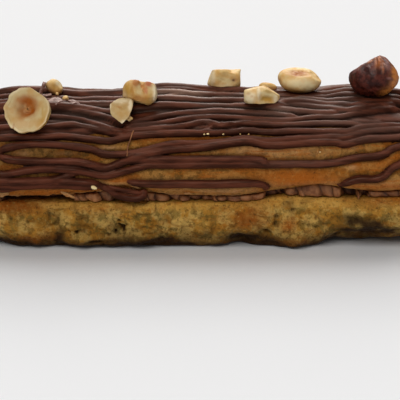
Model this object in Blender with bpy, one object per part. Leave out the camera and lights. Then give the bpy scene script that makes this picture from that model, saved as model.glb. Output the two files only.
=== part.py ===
"""Chocolate-striped eclair with a split choux shell, piped cream and hazelnuts on top.

Frame: X runs along the loaf, Z is up, and the origin is under the middle of the flat bottom.
All sizes below are millimetres; meshes are written in metres by the MM factor.
"""

import math
import random

import bmesh
import bpy
import numpy as np
from mathutils import Euler, Matrix, Vector, noise

MM = 0.001
SEED = 58

# ---- driving dimensions ------------------------------------------------------------------
LENGTH = 146.0
STRAIGHT_SHARE = 0.70  # share of the length over which the section stays the same
CLEARANCE = 0.35  # air kept between neighbouring solids
SEAT_AIR = 0.5  # air round each nut's corners where it is pressed into the chocolate

BASE_HALF_WIDTH = 24.0
BASE_FOOT_HALF_WIDTH = 18.5  # flat bottom that it rests on
BASE_WIDEST = 8.0  # height of the widest line of the base
BASE_TOP = 13.9  # height of the cut face of the base
BASE_LUMP = 1.2  # height of the knobs in the choux
BASE_STATIONS = 38
BASE_SIDE_STEPS = 7
BASE_RIM_ANGLE = 60.0  # how far round its side the bulge of the base is cut off

# Roundness of the ends: seen from above, of the foot, of the flat faces and of the dome.
END_POWER = 2.6
FOOT_POWER = 3.0
FLAT_POWER = 7.0
DOME_POWER = 2.3

# The front of the base: a crease (along X, width, depth), hollows low down
# (along X, height, length, tallness, depth), and places tucked under (along X, width, depth).
CREASE = (-41.5, 2.6, 1.2)
BASE_HOLLOWS = ((14.0, 3.2, 6.0, 2.2, 1.6), (50.0, 4.2, 5.0, 2.4, 1.6))
LEFT_TUCK = (-56.0, 4.0, 4.0)
RIGHT_TUCK = (35.8, 5.0, 7.2)
MIDDLE_TUCK = (10.5, 4.0, 3.4)

LID_HALF_WIDTH = 23.4
LID_UNDER = 16.6  # height of the cut face of the lid
LID_WIDEST = 20.6  # height of the widest line of the lid
LID_DOME = 18.9  # rise of the lid above its widest line
LID_SECTION_POWER = 2.3  # 2 would be an ellipse
LID_STATIONS = 26
LID_DOME_POINTS = 17
LID_FINE_POINTS = 240  # for measuring along the section

CRUST_WAVE = 0.45  # height of the lid's soft waves

FILLING_INSET = 2.2  # how far the cream stands back from the lip of the lid
FILLING_STATIONS = 72
FILLING_REACH = 0.975  # share of the loaf's length that the cream fills
FILLING_RIB = 0.5  # depth of the ridges left by the piping nozzle
FILLING_RIB_PITCH = 4.6

STRAND_WIDTH = 2.3
STRAND_HEIGHT = 1.3
STRAND_ROOT = 0.75  # how deep a strand is rooted in what it lies on
STRAND_TIP = 0.55  # share of its size that a strand keeps at its ends
# Strands over the crest are broader and higher, beyond this arc from either widest line.
CREST_FROM = 22.0
BACK_CREST_FROM = 18.0
CREST_FADE = 3.0
CREST_WIDTH = 3.3
CREST_HEIGHT = 1.75
# Section of a strand as shares of its width and height; the lowest points are its root.
STRAND_RING = ((0.3, -1), (0.5, 0.2), (0.24, 0.95), (-0.24, 0.95), (-0.5, 0.2), (-0.3, -1))
FRONT_STEP = 7  # distance between the rings of a strand laid at the front
BACK_STEP = 13
DRIP_STEP = 2.4
PILE_CELL = 0.3  # cell across the lid of the map of chocolate already laid
PILE_LIMIT = 2.2  # highest that strands pile up
SAG = 0.5  # share of the height underneath that a soft strand keeps when it settles
SETTLE = 0.18  # share of its width in which a strand feels what it lies on

# The cut line climbs towards +X. Places along X and heights, as (centre, width, rise).
CUT_CLIMB = (18.0, 7.0, 1.3)
BASE_HUMP = (24.0, 7.0, 0.5)
LID_ARCH = (34.0, 8.0, 1.1)
# Where the lid's lower edge hangs and lifts.
LIP_WAVES = ((-60.0, 7.0, -1.3), (-46.0, 9.0, -0.9), (-22.0, 6.5, 1.9), (3.0, 14.0, -0.9),
             (33.0, 6.0, 0.6), (53.0, 10.0, -0.6))

# The crest's own rises and dips as (centre, width, rise); they fade down the sides of the dome.
CREST_LEVEL = -0.75
CREST_HUMPS = ((-62.0, 5.0, -0.3), (-35.0, 7.0, -1.3), (-25.0, 7.0, -1.2), (-9.0, 8.0, 0.9),
               (14.0, 8.0, -0.3), (36.0, 4.0, -0.3), (44.0, 6.0, 0.7))
CREST_POWER = 4

# Places along X where cream is missing or set back from the edge, as (from, to, depth).
FILLING_HOLLOWS = (
    (-56.0, -36.5, 4.5),
    (-24.6, -15.3, 1.2),
    (-8.7, -5.8, 1.2),
    (-2.9, 3.6, 1.8),
    (19.0, 24.2, 1.8),
    (40.5, 45.0, 2.2),
    (46.6, 48.0, 2.0),
)

# Hand-laid strands of the front: points (along X, up the lid from its widest line).
FRONT_STRANDS = (
    ((-66, 0.6), (-57, -1.3), (-51, -0.5), (-42, -0.5), (-34, -0.8), (-28.5, -1.2)),
    ((-66, 2.6), (-57, 0.5), (-44, 0.7), (-40.8, 1.0), (-38, 1.9), (-35, 2.8)),
    ((-40.8, 0.2), (-37, 0.5), (-31.2, 0.0), (-27.2, -1.0)),
    ((-64, 4.4), (-56.5, 2.4), (-48, 3.7), (-41, 4.0), (-34, 3.5), (-28.3, 2.3), (-25.5, 2.4),
     (-17, 4.6), (-12, 5.2), (8.5, 5.4), (34.5, 5.6), (44, 7.2), (51, 7.9), (55.3, 10.2), (66, 13)),
    ((-57, 8.5), (-55.6, 7.3), (-51, 6.4), (-35.3, 6.1), (-28.3, 4.5), (-26.3, 4.3), (-21, 6.2),
     (-14, 6.6), (13.6, 6.8), (19.2, 5.4)),
    ((-57, 8.6), (-55.6, 9.8), (-49.5, 11.0), (-39.6, 10.9), (-31.7, 9.9), (-27.4, 8.5),
     (-24.9, 8.2), (-19.2, 8.5), (-8.5, 11.0), (4.2, 11.6), (12.8, 12.9), (20.4, 12.3),
     (36.8, 13.2), (41, 13.0), (47, 14.6), (56, 15.6), (66, 17.5)),
    ((-21.5, 6.4), (-12.7, 8.6), (-7.1, 9.7), (1.4, 10.2), (12.7, 11.8), (19.8, 10.9),
     (36.8, 11.7), (41, 11.1), (47, 12.4), (56, 13.2), (66, 15.0)),
    ((-20.4, 0.4), (-17.9, -0.1), (-7, -0.3), (8.5, 0.0), (14.2, 0.0), (17.2, -0.3), (19, -1.3),
     (18.6, -2.6)),
    ((39.2, -1.2), (44.5, 1.0), (51, 1.4), (55.3, 4.8), (66, 9.0)),
    ((-65, 13.5), (-56.6, 13.2), (-44, 13.4), (-38.3, 13.8), (-31.2, 12.9), (-25.5, 12.3),
     (-20.4, 13.6), (-10, 14.3), (0, 14.6), (2, 15.2), (4.2, 14.8), (14.2, 15.5), (19.9, 15.0),
     (36.9, 15.1), (42, 14.8), (47, 16.2), (56, 17.0), (65, 19.5)),
    ((-65, 17.5), (-57, 16.6), (-44, 16.8), (-37, 17.7), (-34.2, 17.4), (-25.5, 15.0), (-21, 13.7)),
    ((-62, 21.5), (-57, 20.5), (-37.2, 20.6), (-31.4, 18.6), (-23.3, 15.1), (-20.4, 15.2),
     (-8.5, 16.0), (0, 18.2), (2.8, 18.1), (6.2, 17.1), (12.8, 18.3), (25.6, 17.2), (34.8, 18.1),
     (39.9, 17.8), (45.5, 16.7)),
    ((-21.6, 16.1), (-18.5, 17.0), (-10, 17.8), (0.8, 20.3), (11.4, 20.2), (24.2, 18.9),
     (34.3, 20.5), (41.5, 20.4), (51.7, 23.5), (57, 25.0)),
    ((-63, 25.5), (-57.5, 24.9), (-49, 24.0), (-37.6, 25.3), (-26.3, 21.2), (-22.8, 18.6),
     (-19.9, 18.4), (-1.4, 22.1), (11.5, 22.8), (24.3, 20.9), (27.7, 19.8)),
    ((17.9, 24.8), (28.7, 22.6), (40.1, 21.7)),
    ((23.1, 26.6), (34.6, 24.8), (43.6, 22.3), (50.3, 24.5), (57, 27.0)),
    ((17.9, 26.5), (27.5, 27.1), (36.1, 26.5), (43.7, 24.3), (49, 23.0)),
    ((-62, 26.5), (-49, 25.1), (-36.2, 26.0), (-28.8, 24.5), (-21.5, 24.7), (-10, 24.8), (5.7, 25.5),
     (17.9, 25.9), (25, 25.1)),
    ((-62, 31.0), (-49.3, 28.3), (-36.5, 30.1), (-24.7, 30.2), (-10, 29.0), (0, 29.0), (12, 30.3), (30, 28.9),
     (42, 28.1), (50, 27.1), (63, 29.2)),
    ((-62, 35.5), (-46.7, 31.6), (-35.3, 34.6), (-23.3, 33.9), (-13, 34.9), (-4, 33.4), (5.8, 35.3),
     (18, 33.3), (30, 31.6), (39.5, 32.2), (49.3, 30.4), (63, 33.4)),
    ((-63, 39.0), (-45, 37.4), (-30, 38.6), (-12, 38.2), (6, 39.3), (24, 37.0), (42, 36.0), (63, 37.8)),
)

# Strands over the crest and down the back, by a rule: distance up from the back's widest line.
BACK_FIRST = 1.2
BACK_LAST = 30.2
BACK_STRANDS = 9
BACK_KNOTS = 8
BACK_WANDER = 1.1

# Neighbouring strands that end beyond HOOK_FROM turn into each other, HOOK_REACH further on.
HOOK_FROM = 58.0
HOOK_REACH = 1.4

# The drip that hangs over the gap at the front, as (along X, distance out, height), and the
# width and height of each of its two strands.
DRIP_LOWER = ((-28.8, 22.8, 20.0), (-26.0, 23.4, 18.6), (-23.6, 23.6, 17.0), (-20.5, 23.7, 16.1),
              (-17.7, 23.7, 16.0), (-15.9, 23.5, 16.9), (-16.4, 22.9, 18.2))
DRIP_UPPER = ((-28.6, 22.6, 20.1), (-24.5, 23.3, 18.9), (-19.5, 23.4, 17.9), (-15.9, 23.0, 17.2))
DRIP_LOWER_SIZE = (2.1, 0.9)
DRIP_UPPER_SIZE = (1.4, 0.7)

# Flakes of skin and chocolate stuck to the top, as (along X, up the lid, size, pitch, turn).
FLAKES = (
    (-45.6, 31.4, (4.4, 2.6, 1.1), 14.0, 62.0),
    (-41.7, 27.0, (4.6, 3.0, 1.0), 14.0, 100.0),
    (-36.4, 27.0, (3.6, 2.6, 1.0), 14.0, 80.0),
    (-46.9, 32.4, (2.0, 5.8, 0.9), 84.0, 98.0),
)
FLAKE_LIFT = 2.3  # height of their middles above the crust
FLAKE_ROLL = -10.0


def clear_scene():
    """Remove every object, so that the script starts from an empty file."""
    for old in list(bpy.data.objects):
        bpy.data.objects.remove(old, do_unlink=True)


def new_collection(name):
    """Make a collection under the scene and return it."""
    made = bpy.data.collections.new(name)
    bpy.context.scene.collection.children.link(made)
    return made


def new_material(name, colour, roughness):
    """Make a plain Principled material."""
    made = bpy.data.materials.new(name)
    made.use_nodes = True
    shader = made.node_tree.nodes["Principled BSDF"]
    shader.inputs["Base Color"].default_value = (*colour, 1.0)
    shader.inputs["Roughness"].default_value = roughness
    shader.inputs["Metallic"].default_value = 0.0
    made.diffuse_color = (*colour, 1.0)
    return made


def new_object(name, bm, group, material):
    """Turn a bmesh in millimetres into a named object in metres."""
    bmesh.ops.recalc_face_normals(bm, faces=bm.faces)
    if bm.calc_volume(signed=True) < 0:
        bmesh.ops.reverse_faces(bm, faces=bm.faces)
    mesh = bpy.data.meshes.new(name)
    bm.transform(Matrix.Scale(MM, 4))
    bm.to_mesh(mesh)
    bm.free()
    made = bpy.data.objects.new(name, mesh)
    group.objects.link(made)
    mesh.materials.append(material)
    return made


# ---- shape functions shared by the shell's pieces ------------------------------------------
def taper(x, power):
    """Share of the full size that is left at x: 1 along the middle and 0 at both tips."""
    share = min(1.0, abs(x) / (LENGTH / 2))
    beyond = max(0.0, (share - STRAIGHT_SHARE) / (1.0 - STRAIGHT_SHARE))
    return (1.0 - beyond**power) ** (1.0 / power)


def step_up(x, centre, width):
    """Smooth step from 0 to 1 around a place along X."""
    return 0.5 * (1.0 + math.tanh((x - centre) / width * 2.0))


def hump(x, centre, width):
    """Smooth hump of height 1 at a place along X."""
    return math.exp(-(((x - centre) / width) ** 2))


def base_top(x):
    """Height of the cut face of the base."""
    centre, width, rise = CUT_CLIMB
    climb = rise * step_up(x, centre, width)
    return BASE_TOP + climb + BASE_HUMP[2] * hump(x, BASE_HUMP[0], BASE_HUMP[1])


def lid_under(x):
    """Height of the cut face of the lid."""
    centre, width, rise = CUT_CLIMB
    climb = rise * step_up(x, centre, width)
    waves = sum(rise * hump(x, centre, width) for centre, width, rise in LIP_WAVES)
    return LID_UNDER + climb + LID_ARCH[2] * hump(x, LID_ARCH[0], LID_ARCH[1]) + waves


def knobs(x, y, z, size, seed):
    """Soft seeded noise between about -1 and 1, with lumps of the given size."""
    return noise.noise(Vector((x / size + seed, y / size - seed, z / size)))


def loaf(name, ring, stations, place, group, material):
    """Map a sphere whose poles lie on the X axis to a closed loaf.

    ring holds the section's points, and place(x, index, point) gives each vertex its position.
    """
    bm = bmesh.new()
    count = len(ring)
    bmesh.ops.create_uvsphere(bm, u_segments=count, v_segments=stations, radius=1.0)
    for vertex in bm.verts:
        latitude = math.asin(max(-1.0, min(1.0, vertex.co.z))) / (math.pi / 2)
        along = 0.45 * latitude + 0.55 * math.sin(latitude * math.pi / 2)
        index = round(math.atan2(vertex.co.y, vertex.co.x) / (2 * math.pi) * count) % count
        vertex.co = place(along * LENGTH / 2, index, ring[index])
    return new_object(name, bm, group, material)


# ---- the base ------------------------------------------------------------------------------
def base_ring():
    """Section of the base: flat foot, bulging sides and flat cut face."""
    bulge = BASE_HALF_WIDTH - BASE_FOOT_HALF_WIDTH
    side = []
    for step in range(BASE_SIDE_STEPS + 1):
        angle = math.radians(-90 + (90 + BASE_RIM_ANGLE) * step / BASE_SIDE_STEPS)
        if angle < 0:
            height = BASE_WIDEST * (1 + math.sin(angle))
        else:
            share = math.sin(angle) / math.sin(math.radians(BASE_RIM_ANGLE))
            height = BASE_WIDEST + (BASE_TOP - BASE_WIDEST) * share
        side.append((BASE_FOOT_HALF_WIDTH + bulge * math.cos(angle) ** 0.8, height))
    foot = [(BASE_FOOT_HALF_WIDTH * share, 0.0) for share in (-0.66, 0.0, 0.66)]
    top = [(side[-1][0] * share, BASE_TOP) for share in (0.62, 0.2, -0.2, -0.62)]
    front = [(-y, z) for y, z in reversed(side)]
    return foot + side + top + front


def base_height(x, z):
    """Height of a point of the base's section where it lies at x."""
    if z > BASE_WIDEST:
        share = (z - BASE_WIDEST) / (BASE_TOP - BASE_WIDEST)
        return BASE_WIDEST + share * (base_top(x) - BASE_WIDEST) * taper(x, FLAT_POWER)
    return BASE_WIDEST - (BASE_WIDEST - z) * taper(x, FOOT_POWER)


def base_relief(x, y, z):
    """How far the choux stands out at this place: its knobs, less its crease and hollows."""
    lump = knobs(x, y, z, 9.0, SEED) + 0.5 * knobs(x, y, z, 4.5, SEED + 7)
    near = 1.0 if y < 0 else 0.3  # the crease and hollows belong to the front
    relief = BASE_LUMP * lump - near * CREASE[2] * hump(x, CREASE[0], CREASE[1])
    for along, height, length, tall, depth in BASE_HOLLOWS:
        relief -= near * depth * hump(x, along, length) * hump(z, height, tall)
    calm = 0.35 if z > BASE_TOP - 1.5 else 1.0
    return relief * calm * min(1.0, 1.2 * taper(x, 2.0))


def base_place(x, _index, point):
    """Put one point of the base's section at x, with the lumps of the choux."""
    y, z = point
    spot = Vector((x, y * taper(x, END_POWER), base_height(x, z)))
    if y < 0 and z < BASE_WIDEST:
        tuck = LEFT_TUCK[2] * (1 - step_up(x, LEFT_TUCK[0], LEFT_TUCK[1]))
        tuck += RIGHT_TUCK[2] * step_up(x, RIGHT_TUCK[0], RIGHT_TUCK[1])
        tuck += MIDDLE_TUCK[2] * hump(x, MIDDLE_TUCK[0], MIDDLE_TUCK[1])
        spot.y = min(0.0, spot.y + tuck * (1 - z / BASE_WIDEST) * taper(x, END_POWER))
    if 0.0 < z < BASE_TOP:
        relief = base_relief(*spot)
        spot += Vector((0.0, math.copysign(1.0, y), 0.03 * (z - BASE_WIDEST))) * relief
    return spot


# ---- the lid -------------------------------------------------------------------------------
def lip_steps(points):
    """Number of steps round each lip of a section whose dome has this many."""
    return max(2, points // 6)


def lid_section(points):
    """Section of the lid's crust from the front lip over the crest to the back lip."""
    lip = LID_WIDEST - LID_UNDER
    front_lip = []
    for step in range(1, lip_steps(points) + 1):
        angle = math.radians(90 * step / lip_steps(points))
        front_lip.append((lip * (1 - math.cos(angle)) - LID_HALF_WIDTH, LID_WIDEST - lip * math.sin(angle)))
    section = list(reversed(front_lip))
    for step in range(points + 1):
        angle = math.pi * step / points
        across = -math.copysign(abs(math.cos(angle)) ** (2 / LID_SECTION_POWER), math.cos(angle))
        up = math.sin(angle) ** (2 / LID_SECTION_POWER)
        section.append((LID_HALF_WIDTH * across, LID_WIDEST + LID_DOME * up))
    section += [(-y, z) for y, z in front_lip]
    return np.array(section)


FINE_SECTION = lid_section(LID_FINE_POINTS)
FINE_ARC = np.concatenate(([0.0], np.cumsum(np.hypot(*np.diff(FINE_SECTION, axis=0).T))))
LIP_ARC = FINE_ARC[lip_steps(LID_FINE_POINTS)]  # arc from the front lip's edge to the widest line
GIRTH = FINE_ARC[-1]
BACK_ARC = GIRTH - 2 * LIP_ARC  # arc from the front widest line to the back one


def crest(x):
    """Rise of the crest above its even height at x."""
    return CREST_LEVEL + sum(rise * hump(x, centre, width) for centre, width, rise in CREST_HUMPS)


def lid_shape(x, y, z):
    """Taper one point of the lid's section for its place along X."""
    wide = y * taper(x, END_POWER)
    if z >= LID_WIDEST:
        share = (z - LID_WIDEST) / LID_DOME
        tall = z - LID_WIDEST + crest(x) * share**CREST_POWER
        return Vector((x, wide, LID_WIDEST + tall * taper(x, DOME_POWER)))
    share = (LID_WIDEST - z) / (LID_WIDEST - LID_UNDER)
    return Vector((x, wide, LID_WIDEST - share * (LID_WIDEST - lid_under(x)) * taper(x, FLAT_POWER)))


def lid_at(x, up, height=0.0):
    """Point above the crust: up is the arc from the front's widest line, as if untapered."""
    arc = min(max(up + LIP_ARC, 0.0), GIRTH)
    spots = []
    for nudge in (0.0, 0.05):
        y = float(np.interp(arc + nudge, FINE_ARC, FINE_SECTION[:, 0]))
        z = float(np.interp(arc + nudge, FINE_ARC, FINE_SECTION[:, 1]))
        spots.append(lid_shape(x, y, z))
    ahead = lid_shape(x + 0.05, y, z)
    normal = (ahead - spots[1]).cross(spots[1] - spots[0]).normalized()
    return spots[0] + normal * height, normal


def lid_ring():
    """The lid's section with few points, closed by a flat cut face underneath."""
    dome = lid_section(LID_DOME_POINTS)
    under = [(LID_HALF_WIDTH * share, LID_UNDER) for share in (0.45, 0.0, -0.45)]
    return [tuple(point) for point in dome] + under


def lid_place(x, index, point):
    """Put one point of the lid's section at x, with soft waves in the crust."""
    y, z = point
    spot = lid_shape(x, y, z)
    if z <= LID_UNDER + 0.01:
        return spot
    wave = CRUST_WAVE * knobs(x, y, z, 14.0, SEED + 21) * taper(x, 2.0)
    return spot + Vector((0.0, y / LID_HALF_WIDTH, 0.6)) * wave


# ---- chocolate strands ---------------------------------------------------------------------
def strand_size(up):
    """Width and height of a strand that lies at this arc up the lid."""
    near = step_up(up, CREST_FROM, CREST_FADE)
    near *= 1 - step_up(up, BACK_ARC - BACK_CREST_FROM, CREST_FADE)
    width = STRAND_WIDTH + (CREST_WIDTH - STRAND_WIDTH) * near
    return width, STRAND_HEIGHT + (CREST_HEIGHT - STRAND_HEIGHT) * near


def smooth_route(knots, step):
    """Catmull-Rom curve through the knots, with a point about every step."""
    points = [Vector(knot) for knot in knots]
    points = [points[0] * 2 - points[1]] + points + [points[-1] * 2 - points[-2]]
    route = []
    for before, start, end, after in zip(points, points[1:], points[2:], points[3:]):
        pieces = max(1, round((end - start).length / step))
        for piece in range(pieces):
            t = piece / pieces
            bend = 2 * before - 5 * start + 4 * end - after
            twist = 3 * start - before - 3 * end + after
            route.append(start + ((end - before) * t + bend * t**2 + twist * t**3) * 0.5)
    route.append(points[-2])
    return route


class Pile:
    """Height of the chocolate already laid, in cells along X and up the lid."""

    def __init__(self):
        self.across = int(GIRTH / PILE_CELL) + 2
        self.heights = np.zeros((int(LENGTH) + 2, self.across))

    def cell(self, x, up):
        """Cell that holds a place on the lid."""
        row = int(min(max(x + LENGTH / 2, 0), LENGTH))
        column = int(min(max((up + LIP_ARC) / PILE_CELL, 0), self.across - 1))
        return row, column

    def rest_height(self, x, up):
        """Height that a strand laid at this place comes to rest on."""
        row, column = self.cell(x, up)
        reach = int(SETTLE * STRAND_WIDTH / PILE_CELL)
        return float(self.heights[row, max(0, column - reach):column + reach + 1].max())

    def add(self, x, up, rest):
        """Raise the cells that a strand covers here."""
        row, column = self.cell(x, up)
        width, height = strand_size(up)
        reach = int(0.5 * width / PILE_CELL)
        for offset in range(-reach, reach + 1):
            place = min(max(column + offset, 0), self.across - 1)
            share = math.sqrt(max(0.0, 1 - (offset * PILE_CELL / (0.5 * width)) ** 2))
            top = min(rest + height * share, PILE_LIMIT)
            self.heights[row, place] = max(self.heights[row, place], top)


def lay_strand(pile, knots, step):
    """Lay one strand over the pile and give its middle line, as (along X, up, rest height)."""
    fine = smooth_route(knots, 1.0)
    rests = [pile.rest_height(x, up) for x, up in fine]
    for _ in range(3):
        padded = [rests[0]] + rests + [rests[-1]]
        rests = [(a + 2 * b + c) / 4 for a, b, c in zip(padded, padded[1:], padded[2:])]
    rests = [SAG * rest for rest in rests]
    for (x, up), rest in zip(fine, rests):
        pile.add(x, up, rest)
    kept = list(range(0, len(fine) - step // 2, step)) + [len(fine) - 1]
    return [(fine[i].x, fine[i].y, rests[i]) for i in kept]


def strand_tube(bm, line):
    """Sweep a flat-bottomed bead along points with an upward direction, a width and a height."""
    rings = []
    for index, (middle, upward, width, height) in enumerate(line):
        ahead = line[min(index + 1, len(line) - 1)][0] - line[max(index - 1, 0)][0]
        side = ahead.cross(upward).normalized()
        end = index in (0, len(line) - 1)
        size = STRAND_TIP if end else 1.0
        ring = []
        for out, up in STRAND_RING:
            lift = height * up if up > 0 else -STRAND_ROOT
            ring.append(bm.verts.new(middle + side * width * out * size + upward * lift * size))
        rings.append(ring)
    for first, second in zip(rings, rings[1:]):
        for a in range(len(STRAND_RING)):
            b = (a + 1) % len(STRAND_RING)
            bm.faces.new((first[a], first[b], second[b], second[a]))
    bm.faces.new(rings[0][::-1])
    bm.faces.new(rings[-1])


def surface_line(line):
    """Turn (along X, up, rest height) into points on the pile, as strand_tube takes them."""
    return [(*lid_at(x, up, rest), *strand_size(up)) for x, up, rest in line]


def back_strands():
    """Strands over the crest and the back, by a seeded rule."""
    draw = random.Random(SEED)
    strands = []
    for number in range(BACK_STRANDS):
        share = number / (BACK_STRANDS - 1)
        level = BACK_ARC - (BACK_FIRST + (BACK_LAST - BACK_FIRST) * share)
        reach = draw.uniform(60, 66)
        knots = []
        for knot in range(BACK_KNOTS):
            x = reach * (2 * knot / (BACK_KNOTS - 1) - 1)
            knots.append((x, level + draw.uniform(-BACK_WANDER, BACK_WANDER)))
        strands.append(knots)
    draw.shuffle(strands)
    return strands


def hook_ends(strands):
    """Turn neighbouring strands into each other where both reach an end of the lid."""
    for side, first in ((-1, 0), (1, 1)):
        end = -1 if side > 0 else 0
        reaching = [knots for knots in strands if side * knots[end][0] > HOOK_FROM]
        reaching.sort(key=lambda knots: knots[end][1])
        for low, high in zip(reaching[first::2], reaching[first + 1::2]):
            turn = 0.5 * (low[end][0] + high[end][0]) + side * HOOK_REACH
            middle = 0.5 * (low[end][1] + high[end][1])
            for knots in (low, high):
                knots.insert(len(knots) if side > 0 else 0, (turn, middle))


def drip_line(points, width, height):
    """The hanging drip as points with directions away from the lid, a width and a height."""
    route = smooth_route([Vector((x, -out, z)) for x, out, z in points], DRIP_STEP)
    outward = Vector((0.0, -1.0, 0.25)).normalized()
    return [(spot, outward, width, height) for spot in route]


def build_flake(x, up, size, pitch, turn, group, material):
    """One thin flake rooted in the chocolate."""
    bm = bmesh.new()
    bmesh.ops.create_cube(bm, size=1.0)
    spot, normal = lid_at(x, up, FLAKE_LIFT)
    lie = normal.to_track_quat("Z", "X").to_matrix().to_4x4()
    tilt = Euler([math.radians(angle) for angle in (pitch, FLAKE_ROLL, turn)]).to_matrix().to_4x4()
    grow = Matrix.Diagonal((*size, 1.0))
    bm.transform(Matrix.Translation(spot) @ lie @ tilt @ grow)
    return new_object("flake", bm, group, material)


def combine(target, group, operation):
    """Fuse a collection into the target, or cut it away, and remove the collection's objects."""
    join = target.modifiers.new("combine", "BOOLEAN")
    join.operation = operation
    join.operand_type = "COLLECTION"
    join.collection = group
    join.solver = "EXACT"
    apply_modifiers(target)
    for spent in list(group.objects):
        bpy.data.objects.remove(spent, do_unlink=True)


def apply_modifiers(target):
    """Keep the evaluated mesh in place of the modifiers."""
    graph = bpy.context.evaluated_depsgraph_get()
    fused = bpy.data.meshes.new_from_object(target.evaluated_get(graph))
    target.modifiers.clear()
    target.data = fused


def keep_outer_shell(target):
    """Drop the shells of sealed hollows and loose scraps, and keep the largest shell."""
    bm = bmesh.new()
    bm.from_mesh(target.data)
    left = set(bm.faces)
    shells = []
    while left:
        seed = left.pop()
        shell = [seed]
        queue = [seed]
        while queue:
            clean = [edge for edge in queue.pop().edges if len(edge.link_faces) == 2]
            for face in [face for edge in clean for face in edge.link_faces]:
                if face in left:
                    left.remove(face)
                    shell.append(face)
                    queue.append(face)
        shells.append(shell)
    shells.sort(key=len)
    spare = [face for shell in shells[:-1] for face in shell]
    bmesh.ops.delete(bm, geom=spare, context="FACES")
    bmesh.ops.triangulate(bm, faces=bm.faces)
    bm.to_mesh(target.data)
    bm.free()


def hide_cutter(cutter):
    """Keep a cutter out of renders and draw it as wire."""
    cutter.hide_render = True
    cutter.display_type = "WIRE"


def build_lid(group, cutters, material):
    """The lid with its strands, drip and flakes fused on."""
    lid = loaf("lid", lid_ring(), LID_STATIONS, lid_place, group, material)
    pile = Pile()
    lines = []
    back = back_strands()
    strands = back + [list(knots) for knots in FRONT_STRANDS]
    hook_ends(strands)
    for number, knots in enumerate(strands):
        step = BACK_STEP if number < len(back) else FRONT_STEP
        lines.append(surface_line(lay_strand(pile, knots, step)))
    lines.append(drip_line(DRIP_LOWER, *DRIP_LOWER_SIZE))
    lines.append(drip_line(DRIP_UPPER, *DRIP_UPPER_SIZE))
    for number, line in enumerate(lines):
        bm = bmesh.new()
        strand_tube(bm, line)
        hide_cutter(new_object(f"strand_{number:02d}", bm, cutters, material))
    for flake in FLAKES:
        hide_cutter(build_flake(*flake, cutters, material))
    combine(lid, cutters, "UNION")
    keep_outer_shell(lid)
    return lid


def seat_nuts(lid, nuts, cutters, material):
    """Press a seat for each nut into the chocolate, with air all round it."""
    for nut in nuts:
        bm = bmesh.new()
        bm.from_mesh(nut.data)
        bm.normal_update()
        bm.transform(Matrix.Scale(1 / MM, 4))
        moves = [(vertex, vertex.normal * SEAT_AIR) for vertex in bm.verts]
        for vertex, move in moves:
            vertex.co += move
        hide_cutter(new_object(f"seat_{nut.name}", bm, cutters, material))
    combine(lid, cutters, "DIFFERENCE")
    keep_outer_shell(lid)


# ---- the filling ---------------------------------------------------------------------------
def filling_ring():
    """Section of the slab of cream, with an edge that bulges a little."""
    half = LID_HALF_WIDTH - FILLING_INSET
    front = [(-half * 0.5, 0.0), (-half, 0.15), (-half - 0.3, 0.55), (-half, 0.9), (-half * 0.5, 1.0)]
    return front + [(half * 0.5, 1.0), (half, 0.9), (half, 0.15), (half * 0.5, 0.0)]


def filling_place(x, _index, point):
    """Put one point of the cream's section at x: y, and its share of the gap's height."""
    y, share = point
    inside = x * FILLING_REACH
    low = base_top(inside) + CLEARANCE
    high = lid_under(inside) - CLEARANCE
    depth = 0.0
    if abs(y) > LID_HALF_WIDTH * 0.6:
        ridge = math.cos(2 * math.pi * inside / FILLING_RIB_PITCH + 1.3 * math.sin(inside * 0.21))
        depth = -FILLING_RIB * ridge
        for start, end, recess in FILLING_HOLLOWS:
            if y < 0:
                depth -= recess * step_up(inside, start, 1.2) * (1 - step_up(inside, end, 1.2))
        if y > 0:
            depth -= 1.2 + 1.4 * knobs(inside, 0, 0, 9.0, SEED + 3)
    wide = (abs(y) + depth) * taper(x, END_POWER)
    middle = 0.5 * (low + high)
    tall = middle + (low + (high - low) * share - middle) * taper(x, 8.0)
    return Vector((inside, math.copysign(wide, y), tall))


# ---- nuts ----------------------------------------------------------------------------------
def slice_flat(points, normal, distance):
    """Press every point beyond a plane onto it, which leaves a flat face."""
    direction = Vector(normal).normalized()
    for point in points:
        beyond = point.dot(direction) - distance
        if beyond > 0:
            point -= direction * beyond


def build_nut(spec, group, material):
    """One piece of nut: a lumpy ellipsoid with pressed-flat faces, or a dished half."""
    bm = bmesh.new()
    bmesh.ops.create_uvsphere(bm, u_segments=NUT_SIDES, v_segments=NUT_RINGS, radius=1.0)
    radii = Vector(spec["radii"])
    for vertex in bm.verts:
        co = vertex.co
        lump = 1.0 + spec.get("lump", 0.06) * knobs(co.x, co.y, co.z, 0.8, spec["seed"])
        if spec.get("point"):
            lump += spec["point"] * max(0.0, co.z) ** 8
        vertex.co = Vector((co.x * radii.x, co.y * radii.y, co.z * radii.z)) * lump
    if "dish" in spec:
        for vertex in bm.verts:
            if vertex.co.z > 0:
                share = Vector((vertex.co.x / radii.x, vertex.co.y / radii.y)).length
                vertex.co.z = 0.6 * share - spec["dish"] * max(0.0, 1 - share**2)
    for normal, distance in spec.get("faces", ()):
        slice_flat([vertex.co for vertex in bm.verts], normal, distance)
    bmesh.ops.remove_doubles(bm, verts=bm.verts, dist=0.02)
    bmesh.ops.triangulate(bm, faces=bm.faces)
    turn = Euler([math.radians(angle) for angle in spec["turn"]]).to_matrix().to_4x4()
    bm.transform(Matrix.Translation(Vector(spec["at"])) @ turn)
    return new_object(spec["name"], bm, group, material)


NUT_SIDES = 10
NUT_RINGS = 7

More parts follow.
